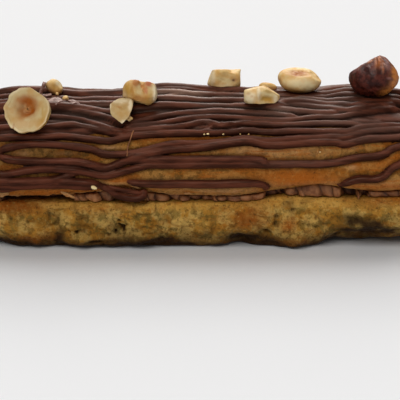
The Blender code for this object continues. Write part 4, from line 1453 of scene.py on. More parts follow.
@dataclass
class ChocolateStrands:
    """All the piped strands, laid one on another as a field of heights over the crust."""

    width: float = 2.3
    height: float = 1.3
    sag: float = 0.5
    limit: float = 2.2
    settle: float = 0.18  # share of its width in which a strand feels what it lies on
    back_first: float = 1.2
    back_last: float = 30.2
    back_count: int = 9
    back_knots: int = 8
    back_wander: float = 1.1
    hook_from: float = 58.0
    hook_reach: float = 1.4
    cell_x: float = 0.4
    cell_up: float = 0.12
    stations: int = 200
    ring: int = 460
    hidden: float = -0.5
    soft: float = 0.45  # how far the strands near the crest have run together
    melting: float = 0.12  # to which share they have
    wobble: float = 0.22
    sunk_reach: float = 1.6  # how far up and down the hollows between strands are judged, for their painted shade
    inside_half_width: float = 15.0
    # Rough places as (along X, up the lid, length, width, rise).
    crumbly: Patches = ((8.0, 16.8, 8.0, 2.2, 0.35),)
    # Strands over the crest are broader and higher, beyond this arc from either widest line.
    crest_from: float = 22.0
    back_crest_from: float = 18.0
    crest_fade: float = 3.0
    step: float = 0.3  # distance between a strand's points
    end_fade: float = 2.4  # length over which a strand thins out at its ends
    crest_width: float = 3.3
    crest_height: float = 1.75
    # Flat sheets between strands as (along X, up the lid, length, width, rise).
    sheets: Patches = (
        (21, 22.6, 8, 3, 1.3), (52, 30, 12, 5, 1.3), (46, 18.4, 7, 2.4, 1.3), (55, 14.6, 8, 2, 1.3),
        (-42, 18.8, 16, 2.4, 1.3), (-46, 15.3, 14, 1.7, 1.3), (6, 16.6, 10, 1.3, 1.3),
        (-38, 5.1, 14, 1.1, 1.3), (-34, 15.6, 5, 1.6, 1.3), (-7, 32.2, 9, 1.5, 1.3))
    # Greyer places, then glossier ones, which also get a painted highlight, and duller ones, which are
    # also painted darker, as (along X, up the lid, length, width, strength).
    blooms: Patches = (
        (22, 22.5, 9, 2.4, 1), (56, 14, 14, 3, 0.5), (38, 18, 10, 2.6, 0.8), (27, 5.8, 10, 1.2, 0.35),
        (-7, 32.4, 9, 2.2, 0.9))
    gloss: Patches = (
        (-6, 31.8, 9.5, 3.2, 1.3), (-30, 27, 8, 2.5, 0.4), (40, 31, 14, 5, -0.4),
        (-36, 20, 9, 3.4, -0.35), (14, 32, 8, 2, -0.2))
    dome: float = 0.94  # share of a ring that is over the crust, and not hidden in it
    grain: Grain = Grain(SEED + 4)
    heights: Array = field(init=False)

    def __post_init__(self) -> None:
        """Lay all the strands."""
        self.heights = self.field()

    @property
    def shape(self) -> tuple[int, int]:
        """Rows along the loaf and columns up the lid of the field of heights."""
        return int(FORM.length / self.cell_x) + 2, int(GIRTH / self.cell_up) + 2

    def cell(self, x: Array, up: Array, margin: float = 1.0) -> tuple[Array, Array]:
        """Places in the field of heights, kept inside it.

        Args:
            x: Places along the loaf.
            up: Arcs up the lid.
            margin: Cells left out before the field's far edges.

        Returns:
            The row and the column of each, with fractions.
        """
        rows, columns = self.shape
        return (np.clip((x + FORM.length / 2) / self.cell_x, 0, rows - margin),
                np.clip((up + LIP_ARC) / self.cell_up, 0, columns - margin))

    def back_strands(self) -> list[Knots]:
        """Strands over the crest and the back, by the part's seeded rule.

        Returns:
            The knots of each strand.
        """
        draw = random.Random(SEED)
        strands = []
        for number in range(self.back_count):
            share = number / (self.back_count - 1)
            level = BACK_ARC - (self.back_first + (self.back_last - self.back_first) * share)
            reach = draw.uniform(60, 66)
            knots = []
            for knot in range(self.back_knots):
                x = reach * (2 * knot / (self.back_knots - 1) - 1)
                knots.append((x, level + draw.uniform(-self.back_wander, self.back_wander)))
            strands.append(knots)
        draw.shuffle(strands)
        return strands

    def hook_ends(self, strands: list[Knots]) -> None:
        """Turn neighbouring strands into each other where both reach an end of the lid.

        Args:
            strands: The knots of each strand, which are changed.
        """
        for side, first in ((-1, 0), (1, 1)):
            end = -1 if side > 0 else 0
            reaching = [knots for knots in strands if side * knots[end][0] > self.hook_from]
            reaching.sort(key=lambda knots: knots[end][1])
            for low, high in zip(reaching[first::2], reaching[first + 1::2]):
                turn = 0.5 * (low[end][0] + high[end][0]) + side * self.hook_reach
                middle = 0.5 * (low[end][1] + high[end][1])
                for knots in (low, high):
                    knots.insert(len(knots) if side > 0 else 0, (turn, middle))

    def cover(self, x: Array, up: Array) -> Array:
        """Thin chocolate that runs together between the strands high on the lid.

        Args:
            x: Places along the loaf, as a grid.
            up: Arcs up the lid, as a grid.

        Returns:
            Its height, below zero where there is none.
        """
        flat = as_points(x.ravel() * 0.3, up.ravel(), 0.0)
        patchy = self.grain.layered(flat, 4.0, 3).reshape(x.shape)
        inside = step_up(up, 18.0, 3.0) * (1 - step_up(up, BACK_ARC - 17.0, 3.0))
        inside *= 1 - step_up(np.abs(x), 62.0, 3.0)
        thin = self.hidden + 0.7 * inside + 0.25 * patchy * inside
        sheets = [self.hidden + sheet for sheet in patches(self.sheets, x, up)]
        return np.maximum.reduce([thin, *sheets])

    def stamp(self, heights: Array, route: Array, rests: Array, seed: float) -> None:
        """Raise the field under one strand.

        Args:
            heights: The field, which is changed.
            route: The strand's points (along X, up the lid).
            rests: Height that each point rests on.
            seed: Picks how the strand swells and thins.
        """
        rows, columns = self.shape
        crest = step_up(route[:, 1], self.crest_from, self.crest_fade)
        crest *= 1 - step_up(route[:, 1], BACK_ARC - self.back_crest_from, self.crest_fade)
        for index, ((x, up), rest, near) in enumerate(zip(route, rests, crest)):
            to_end = self.step * min(index, len(route) - 1 - index)
            swell = min(1.0, 0.5 + 0.5 * to_end / self.end_fade)
            swell *= (1 + 0.16 * noise.noise((index * 0.045, seed, 0.0))
                      + 0.07 * noise.noise((index * 0.2, seed, 9.0)))
            radius = 0.5 * (self.width + (self.crest_width - self.width) * near) * swell
            tall = self.height + (self.crest_height - self.height) * near
            row, column = self.cell(x, up)
            reach_row, reach_column = int(radius / self.cell_x) + 1, int(radius / self.cell_up) + 1
            r = np.arange(max(0, int(row) - reach_row), min(rows, int(row) + reach_row + 2))
            c = np.arange(max(0, int(column) - reach_column),
                          min(columns, int(column) + reach_column + 2))
            square = ((r - row)[:, None] * self.cell_x) ** 2 + ((c - column) * self.cell_up) ** 2
            square /= radius**2
            bead = rest + tall * swell * np.sqrt(np.maximum(0.0, 1 - square))
            bead = np.where(square < 1, np.minimum(bead, self.limit + 0.4), -9.0)
            block = heights[r[0]:r[-1] + 1, c[0]:c[-1] + 1]
            np.maximum(block, bead, out=block)

    def lay(self, heights: Array, knots: Knots, seed: float) -> None:
        """Lay one strand over what is already there.

        Args:
            heights: The field, which is changed.
            knots: The strand's knots.
            seed: Picks its small wanderings.
        """
        fine = smooth_route([Vector(knot) for knot in knots], self.step)
        route = np.array([point[:] for point in fine])
        route[:, 1] += [self.wobble * noise.noise((i * 0.03, seed, 3.0)) for i in range(len(route))]
        row, column = (cells.astype(int) for cells in self.cell(*route.T))
        reach = int(self.settle * self.width / self.cell_up)
        beneath = [heights[r, max(0, c - reach):c + reach + 1].max() for r, c in zip(row, column)]
        kernel = np.hanning(15)
        padded = np.pad(np.maximum(0.0, beneath), len(kernel) // 2, mode="edge")
        rests = self.sag * np.convolve(padded, kernel / kernel.sum(), mode="valid")
        self.stamp(heights, route, rests, seed)

    def field(self) -> Array:
        """Heights of all the chocolate over the crust.

        Returns:
            The heights by place along the loaf and arc up the lid.
        """
        rows, columns = self.shape
        x = np.arange(rows) * self.cell_x - FORM.length / 2
        up = np.arange(columns) * self.cell_up - LIP_ARC
        x, up = np.meshgrid(x, up, indexing="ij")
        heights = self.cover(x, up)
        strands = self.back_strands() + [list(knots) for knots in FRONT_STRANDS]
        self.hook_ends(strands)
        for number, knots in enumerate(strands):
            self.lay(heights, knots, 11.0 + number)
        crumbs = self.grain.at(as_points(x.ravel(), up.ravel(), 0.0), 0.8).reshape(x.shape)
        heights += np.where(heights > 0, sum(patches(self.crumbly, x, up)) * crumbs, 0.0)
        # The strands high on the lid sink into each other.
        reach = int(2.2 * self.soft / self.cell_up)
        kernel = np.exp(-((np.arange(-reach, reach + 1) * self.cell_up / self.soft) ** 2))
        share = self.melting * step_up(up, 19.0, 5.0) * (1 - step_up(up, BACK_ARC - 16.0, 5.0))
        heights += share * (blurred(heights, kernel) - heights)
        return np.maximum(heights, self.hidden)

    def beside(self, x: Array, up: Array) -> Array:
        """How close places on the crust are to chocolate.

        Args:
            x: Places along the loaf.
            up: Arcs up the lid.

        Returns:
            Up to 1 right under or beside a strand, and 0 from about a millimetre away.
        """
        covered = (self.heights > 0.15).astype(float)
        reach = int(1.0 / self.cell_up)
        padded = np.pad(covered, ((2, 2), (reach, reach)), mode="edge")
        near = np.zeros_like(covered)
        for row in range(5):
            for column in range(2 * reach + 1):
                gap = math.hypot((row - 2) * self.cell_x, (column - reach) * self.cell_up)
                shifted = padded[row:row + covered.shape[0], column:column + covered.shape[1]]
                near = np.maximum(near, shifted * max(0.0, 1 - gap / 1.0))
        row, column = (cells.astype(int) for cells in self.cell(x, up))
        return near[row, column]

    def build(self) -> None:
        """Make the strands."""
        heights = self.heights
        bm, along, around = loaf_grid(self.stations, self.ring)
        x = spread(along, 0.1)
        up = np.clip(around / self.dome, 0, 1) * (GIRTH - 0.6) + 0.3 - LIP_ARC
        row, column = self.cell(x, up, 1.001)
        r, c = row.astype(int), column.astype(int)
        fr, fc = row - r, column - c
        height = ((heights[r, c] * (1 - fr) + heights[r + 1, c] * fr) * (1 - fc)
                  + (heights[r, c + 1] * (1 - fr) + heights[r + 1, c + 1] * fr) * fc)
        spot, _ = crust_point(x, up, height)
        share = np.clip((around - self.dome) / (1 - self.dome), 0, 1)
        inside_y = self.inside_half_width * (1 - 2 * share) * FORM.taper(x, FORM.end_power)
        inside = as_points(x * 0.98, inside_y, FORM.lid_widest)
        set_points(bm.verts, np.where((around > self.dome)[:, None], inside, spot))
        # Glossier places get a painted highlight as well as a smoother surface.
        wet_and_highlight = sum(patches(self.gloss, x, up))
        # The groove mark is painted shade: darker in the hollows between strands, on the strands'
        # undersides and where the chocolate is duller.
        broad = blurred(heights, np.ones(2 * int(self.sunk_reach / self.cell_up) + 1))
        sunk = ((broad - heights) / 0.8 - 0.1)[r, c] * (1 + 0.9 * step_up(up, 19.0, 4.0))
        slope = np.gradient(heights, self.cell_up, axis=1)[r, c] * np.where(up < BACK_ARC / 2, 1, -1)
        sunk = np.maximum(sunk, 0) + np.clip(0.32 * slope - 0.06, 0, 0.45) + np.clip(-wet_and_highlight, 0, 0.4)
        marks = {"bloom": np.clip(sum(patches(self.blooms, x, up)), 0, 1),
                 "wet_and_highlight": np.clip(wet_and_highlight, -0.4, 1.1), "groove_shade": np.clip(sunk, 0, 0.92)}
        hand_in(finish_mesh("chocolate_strands", bm, marks), Finish.CHOCOLATE, ("lid",))


@dataclass
class Drips:
    """The looped drip over the cut and the hair-thin thread beside it."""

    lower: tuple[Triple, ...] = (
        (-28.8, 22.8, 20), (-26, 23.4, 18.6), (-23.6, 23.6, 17), (-20.5, 23.7, 16.1), (-17.7, 23.7, 16),
        (-15.9, 23.5, 16.9), (-16.4, 22.9, 18.2))
    upper: tuple[Triple, ...] = (
        (-28.6, 22.6, 20.1), (-24.5, 23.3, 18.9), (-19.5, 23.4, 17.9), (-15.9, 23, 17.2))
    # The thread as (along X, up the lid).
    thread: tuple[Pair, ...] = (
        (-18, 16.6), (-18.9, 14.6), (-19.6, 12.6), (-20.4, 10.2), (-20.6, 7.6))

    def build(self) -> None:
        """Make the drip and the thread."""
        for name, knots, radius in (("drip_lower", self.lower, 1.05), ("drip_upper", self.upper, 0.7)):
            points = smooth_route([Vector((x, -out, z)) for x, out, z in knots], 0.5)
            radii = [radius * (1 + 0.14 * noise.noise((i * 0.21, radius, 0.0)))
                     for i in range(len(points))]
            bm = tube(points, radii, 16)
            bmesh.ops.recalc_face_normals(bm, faces=bm.faces)
            bm.normal_update()
            # the undersides of the drip are painted darker: painted shade
            shaded = [0.6 * max(0.0, -vertex.normal.z) for vertex in bm.verts]
            piece = finish_mesh(name, bm, {"bloom": np.zeros(len(shaded)), "groove_shade": shaded})
            hand_in(piece, Finish.CHOCOLATE)
        route = smooth_route([Vector((x, up, 0.0)) for x, up in self.thread], 0.5)
        flat = np.array([point[:] for point in route])
        lift = 1.1 + 0.3 * np.sin(flat[:, 1])
        spots, _ = crust_point(flat[:, 0], flat[:, 1], lift)
        bm = tube([Vector(spot) for spot in spots], [0.17] * len(spots), 8)
        piece = finish_mesh("chocolate_thread", bm, {"fold_shade": np.zeros(len(bm.verts))})
        hand_in(piece, Finish.CREAM)


# ---- nuts ----
@dataclass(frozen=True)
class Touch:
    """A dent, lump, stain or painted highlight on the side of a nut that faces the front, in millimetres
    from its middle.
    """

    across: float
    up: float
    wide: float
    tall: float
    rise: float = 0.0
    mark: str = "hollow"
    share: float = 0.0
    slant: float = 0.0  # rise of its long axis per millimetre across


@dataclass
class NutPiece:
    """One piece of hazelnut, shaped as in the part and finished finer."""

    name: str
    at: Triple
    radii: Triple
    turn: Triple
    seed: int
    faces: tuple[tuple[Triple, float], ...] = ()
    dish: float = 0.0
    dish_at: Pair = (0.0, 0.0)
    point: float = 0.0
    lump: float = 0.06
    touches: tuple[tuple, ...] = ()  # the fields of each Touch
    dull: float = 0.0
    fair: float = 0.0
    round_edge: float = 0.15
    rough: Pair = (0.06, 0.08)  # of its round side, and how much more on a cut
    sides: int = 120
    rings: int = 84

    def body(self) -> tuple[BMesh, Array, dict[str, Array]]:
        """The piece about its own middle.

        Returns:
            Its mesh, its points and the marks that its finish reads.
        """
        bm = bmesh.new()
        bmesh.ops.create_uvsphere(bm, u_segments=self.sides, v_segments=self.rings, radius=1.0)
        ball = get_points(bm.verts)
        grain = Grain(self.seed)
        lump = 1 + self.lump * knobs(ball, 0.8, self.seed) + self.point * np.maximum(0, ball[:, 2]) ** 8
        points = ball * self.radii * lump[:, None]
        none = np.zeros(len(points))
        marks = {"hollow": none, "light": none, "cut": none, "dull": none + self.dull}
        if self.dish:
            marks |= self.hollow_out(points, grain)
        for normal, distance in self.faces:
            direction = np.array(normal) / np.linalg.norm(normal)
            beyond = points @ direction - distance
            rounding = 0.5 * self.round_edge * np.exp(-np.abs(beyond) / self.round_edge)
            points -= direction * (np.maximum(beyond, 0) + rounding)[:, None]
            marks["cut"] = np.maximum(marks["cut"], np.clip(beyond / 0.4, 0, 1))
        outward = points / (np.linalg.norm(points, axis=1, keepdims=True) + 1e-9)
        rough = self.rough[0] + self.rough[1] * marks["cut"]
        points += outward * (rough * grain.layered(points, 1.3, 3))[:, None]
        marks["cut"] = np.maximum(marks["cut"], self.fair)
        if self.point:
            relief, marks = self.skin(points)
            points += outward * relief[:, None]
        turned = points @ self.turning().T
        down, level = math.sin(FRONT_LOOK), math.cos(FRONT_LOOK)
        rising = turned[:, 2] * level + turned[:, 1] * down
        facing = np.clip(turned[:, 2] * down - turned[:, 1] * level + 1.2, 0, 1)
        for touch in starmap(Touch, self.touches):
            beside = turned[:, 0] - touch.across
            share = hump(beside, 0.0, touch.wide) * facing
            share *= hump(rising - touch.slant * beside, touch.up, touch.tall)
            points += outward * (touch.rise * share)[:, None]
            torn = touch.share * np.clip(1.5 * share * (1 + 0.5 * grain.at(points, 0.7)), 0, 1)
            marks[touch.mark] = np.maximum(marks.get(touch.mark, 0.0), torn)
        return bm, points, {name: np.clip(mark, 0, 1) for name, mark in marks.items()}

    def hollow_out(self, points: Array, grain: Grain) -> dict[str, Array]:
        """Turn the upper half into the cut face of a halved nut, with its hollow.

        Args:
            points: The kernel's points, which are changed.
            grain: Noise for the piece.

        Returns:
            The marks of the cut face.
        """
        share = np.hypot(points[:, 0] / self.radii[0], points[:, 1] / self.radii[1])
        flat = points * (1, 1, 0) - (*self.dish_at, 0.0)
        near = np.hypot(flat[:, 0] / self.radii[0], flat[:, 1] / self.radii[1])
        near += 0.07 * grain.at(points, 2.4)
        above = points[:, 2] > 0
        fine = grain.layered(flat, 2.0, 2)
        points[:, :2] *= 1 + (0.04 * fine * np.clip(share * 4 - 3, 0, 1))[:, None]
        bowl = 0.6 * share - 0.7 * np.maximum(0, 1 - share**2)
        bowl -= self.dish * np.exp(-((near / 0.36) ** 2.6)) * (share < 1)
        bowl += 0.14 * fine * (share < 0.9)
        centre = np.exp(-((near / 0.15) ** 2))
        bowl += centre * (0.7 + 0.9 * grain.at(flat, 0.8))
        points[:, 2] = np.where(above, bowl, points[:, 2])
        # The stain is stronger on the hollow's upper side: painted shade there.
        upper = 0.95 + 0.3 * np.clip(flat[:, 1] / 2.5, -1, 1) + 0.5 * grain.at(points, 1.6)
        stain = np.exp(-((near / 0.52) ** 4)) * (1 - 0.5 * centre) * upper
        # A pale band just inside the cut face's rim: painted highlight.
        light = np.exp(-(((share - 0.97) / 0.05) ** 2)) * (0.35 + 0.5 * grain.at(points, 3.0))
        return {"hollow": np.where(above, stain, 0.0), "light": np.where(above, light, 0.0),
                "cut": np.where(above, 1.0, 0.0)}

    def turning(self) -> Array:
        """The piece's turn as a matrix."""
        return np.array(Euler([math.radians(angle) for angle in self.turn]).to_matrix())

    def build(self) -> None:
        """Make the piece."""
        bm, points, marks = self.body()
        finish, slot = (Finish.NUT_SKIN, "nut_skin") if self.point else (Finish.NUT, "nut")
        set_points(bm.verts, points @ self.turning().T + np.array(self.at))
        hand_in(finish_mesh(f"{self.name}_kernel", bm, marks), finish, (self.name,))

    def skin(self, points: Array) -> tuple[Array, dict[str, Array]]:
        """Wrinkled skin with tan streaks from the tip.

        Args:
            points: The kernel's points.

        Returns:
            The skin's relief, and the marks that its finish reads.
        """
        grain = Grain(self.seed + 1)
        unit = points / np.array(self.radii)
        angle = np.arctan2(unit[:, 1], unit[:, 0])
        tall = unit[:, 2]
        wrinkle = np.cos(angle * 11 + 2.5 * grain.at(points, 4.0))
        streak = np.clip(wrinkle - 0.35, 0, 1) * np.clip((tall - 0.25) * 1.6, 0, 1)
        relief = 0.2 * wrinkle * np.clip(tall + 0.6, 0, 1) + 0.16 * grain.layered(points, 1.8, 3)
        return relief, {"tan": 1.2 * streak}


NUTS = (
    NutPiece("half_nut_left", (-48.8, -18.9, 40.7), (6.6, 6.5, 5.2), (60, 0, -12), 3,
             (((0.5, 0.87, 0), 5.9),), dish=2.2, dish_at=(-0.7, 0.9), dull=0.45,
             touches=(
        (-5.4, 2.6, 0.7, 1.0, -1.6), (-6.2, 1.0, 0.6, 0.6, 0.5),
        (-3.9, -4.8, 0.25, 0.9, -0.5, "hollow", 0.6, 1.5), (4.6, -0.6, 0.3, 1.6, -0.4, "gold", 0.6),
        (5.2, -3.2, 1.3, 3, 0, "gold", 0.6, 0.9), (-5, -2.4, 1.4, 1.6, -0.2, "gold", 0.35),
        (-1.8, -4.2, 3, 1.2, 0, "light", 0.15))),
    NutPiece("nut_chip", (-42.8, 1.2, 41.9), (2.8, 2.4, 2.1), (-10, 35, 0), 5,
             (((0.3, -0.5, 1), 1.75), ((-1, 0, 0.3), 2.2)), fair=0.3,
             touches=(
        (0.2, -0.2, 1.3, 0.9, -0.2, "gold", 0.7), (-1.2, -1.6, 1.2, 0.6, 0.0, "hollow", 0.8),
        (-2.4, 0.6, 0.5, 1.4, 0.1, "skin", 0.7), (1.4, 1, 0.8, 1, 0, "light", 0.5))),
    NutPiece("nut_split", (-17.4, -8.8, 43.0), (5.4, 4.3, 4.2), (-20, 0, 0), 7,
             (((-0.3, 0, -0.95), 2.85), ((-1, 0, 0.1), 4.7), ((1, -0.15, 0.1), 4.75),
              ((0.17, 0, 1), 3.3), ((0.35, -1, 0.25), 3.3)), dull=0.3,
             touches=(
        (-0.9, 2.7, 1.0, 1.1, 0.1, "hollow", 0.8), (-0.9, 4.0, 0.4, 0.4, 0.2, "skin", 0.9),
        (0.9, 3.4, 0.55, 1.8, -2.1, "hollow", 0.4), (1.4, 1.1, 0.4, 1.6, -0.6, "hollow", 0.5, -1.6),
        (2.6, 2.4, 1, 0.8, 0.1, "rosy", 0.9), (2, 0.9, 0.35, 1.4, 0.1, "rosy", 0.6, -1.2),
        (-3, 0.8, 1.2, 2.2, 0.3, "gold", 0.75), (-4.2, -1.6, 0.7, 1.4, -0.3, "light", 0.4),
        (-1.9, 0, 0.4, 2.4, -0.4, "hollow", 0.3, -0.6), (0.3, -2, 2.4, 0.9, -0.3, "hollow", 0.5),
        (2.9, -2, 1.4, 1.6, 0.1, "gold", 0.5), (4.4, -0.4, 0.5, 2.6, 0.2, "light", 0.8))),
    NutPiece("nut_wedge", (-22.4, -14.9, 39.2), (4.6, 5.3, 2.3), (42, 0, 0), 9,
             (((-1, -0.1, -0.5), 2.2), ((-0.7, -0.7, -0.5), 2.3), ((0.82, -0.57, -0.5), 2.2),
              ((0.96, -0.26, -0.5), 1.95), ((-0.58, 0.81, 0), 3.3), ((-0.07, 1, 0), 3.6),
              ((0, 0, 1), 1.35)), dull=0.62,
             touches=(
        (0.4, 0.4, 2.4, 2.2, -0.3, "gold", 0.35), (-0.6, 3.0, 2.4, 0.6, 0.1, "light", 0.5),
        (-3.4, 1.8, 0.4, 1.6, 0, "light", 0.6), (2.6, 1.8, 0.5, 1.8, 0.1, "light", 0.6),
        (0.8, -3.4, 1, 0.7, 0, "light", 0.6), (-0.6, 1.4, 0.7, 0.5, 0.2, "hollow", 0.3))),
    NutPiece("nut_chunk", (7.4, 8.9, 42.0), (5.6, 4.4, 4.2), (-6, 0, 4), 11,
             (((1, 0, 0.03), 4.5), ((0, 0.2, 1), 2.85), ((0, 0, -1), 2.4), ((-1, 0, 0.4), 4.3),
              ((0, -1, 0.1), 3.6)), fair=0.15,
             touches=(
        (2.5, -0.6, 0.35, 0.3, -0.1, "skin", 0.9), (2.6, -0.5, 0.9, 0.8, 0.0, "hollow", 0.4),
        (2.6, 2.5, 1.2, 0.8, -0.8), (4.4, 2.6, 0.5, 0.6, 0.5), (-1.6, 1.2, 2.6, 1.2, 0, "gold", 0.45),
        (-3.6, 0.6, 0.7, 2.4, 0, "light", 0.6), (0, -2.4, 3.6, 0.6, 0, "light", 0.3))),
    NutPiece("nut_lump", (17.4, -8.6, 41.9), (5.5, 4.0, 3.2), (-10, 0, 0), 13,
             (((0, 0, -1), 2), ((0.35, -1, -0.25), 2.9), ((-0.22, 0, 1), 2.7), ((0.5, 0, 0.87), 3),
              ((-1, 0, 0), 4.7)), dull=0.15, fair=0.7,
             touches=(
        (1.6, -1.1, 2.0, 0.8, -0.6, "gold", 0.9), (-3.6, 0.4, 0.5, 0.4, -0.2, "hollow", 0.3),
        (-2.6, -0.4, 0.4, 0.3, -0.2, "hollow", 0.3), (2.2, 1.1, 1.2, 0.5, -0.1, "gold", 0.6),
        (-0.6, 0.4, 0.5, 1.8, 0.3, "light", 0.7), (-3, -0.6, 1.6, 1.4, 0.1, "light", 0.6),
        (4.4, -0.8, 0.6, 1, 0.1, "light", 0.6))),
    NutPiece("nut_sliver", (20.1, 4.2, 40.9), (2.7, 1.6, 1.4), (-20, 8, 0), 15, (((0, 0.3, 1), 1.1),),
             touches=(
        (0.0, -0.6, 2.6, 0.5, 0.0, "hollow", 0.6),)),
    NutPiece("half_nut_right", (29.3, 3.2, 43.4), (6.4, 5.5, 3.65), (4, 3, 0), 17,
             (((0, 0, 1), 2.4), ((0.55, 0, 0.83), 3.6)), fair=0.65,
             touches=(
        (-0.6, 1.8, 3.3, 1.3, -0.3, "gold", 0.8), (-0.5, 1.9, 2.6, 1.0, -0.2, "hollow", 0.8),
        (-1.2, 2.2, 0.6, 0.3, 0.4, "light", 0.4), (-1.4, 1.3, 0.5, 0.4, -0.3, "hollow", 0.95),
        (0.5, 1.3, 0.9, 0.25, 0.35, "gold", 0.5), (-4, 1.9, 1.4, 0.7, 0, "gold", 0.45),
        (5.2, 1.2, 0.45, 0.4, 0.1, "skin", 0.9, -0.8), (5, -3.6, 0.6, 0.3, 0, "skin", 0.8),
        (-5.8, -0.4, 0.3, 1.2, 0, "hollow", 0.4), (0, -1.4, 4.6, 1.2, 0, "light", 0.35))),
    NutPiece("whole_nut", (50.5, -2.4, 45.6), (7.15, 6.6, 5.75), (-20, 0, 0), 19,
             (((-0.5, 0, 0.86), 4.7),), point=0.16, lump=0.04,
             touches=(
        (6.4, 0.6, 1.6, 2.6, -0.1, "bare", 0.9), (4.4, -4.4, 2.4, 1.5, -0.1, "bare", 0.8, 0.3),
        (5.8, -2.4, 1.4, 1.6, -0.1, "bare", 0.9), (1.2, 4.6, 0.5, 1.6, 0.1, "tan", 0.9, 1.2),
        (0.2, 3.8, 0.3, 1.4, 0.1, "tan", 0.8, 1.4), (-1.4, 4.4, 0.9, 0.35, 0.1, "tan", 0.7, 0.6),
        # Of the paper touches, those on the upper left slope and the small one at the lower right are
        # painted highlights; the others are papery skin.
        (2, 3, 0.3, 1.8, 0.1, "tan", 0.6, -1), (3.6, 3.6, 0.8, 1.8, 0.1, "paper_and_highlight", 0.6, -0.4),
        (-4, 3.4, 1.8, 0.4, 0.1, "paper_and_highlight", 0.7, 0.7), (-5.4, 1.9, 1, 0.35, 0.1, "paper_and_highlight", 0.6, 0.8),
        (-2.8, 4.6, 1.4, 0.25, 0.1, "paper_and_highlight", 0.5, 0.5), (3.9, -0.6, 0.7, 0.3, 0.15, "paper_and_highlight", 0.5),
        (4.6, -0.9, 0.9, 0.6, 0.25))),
)


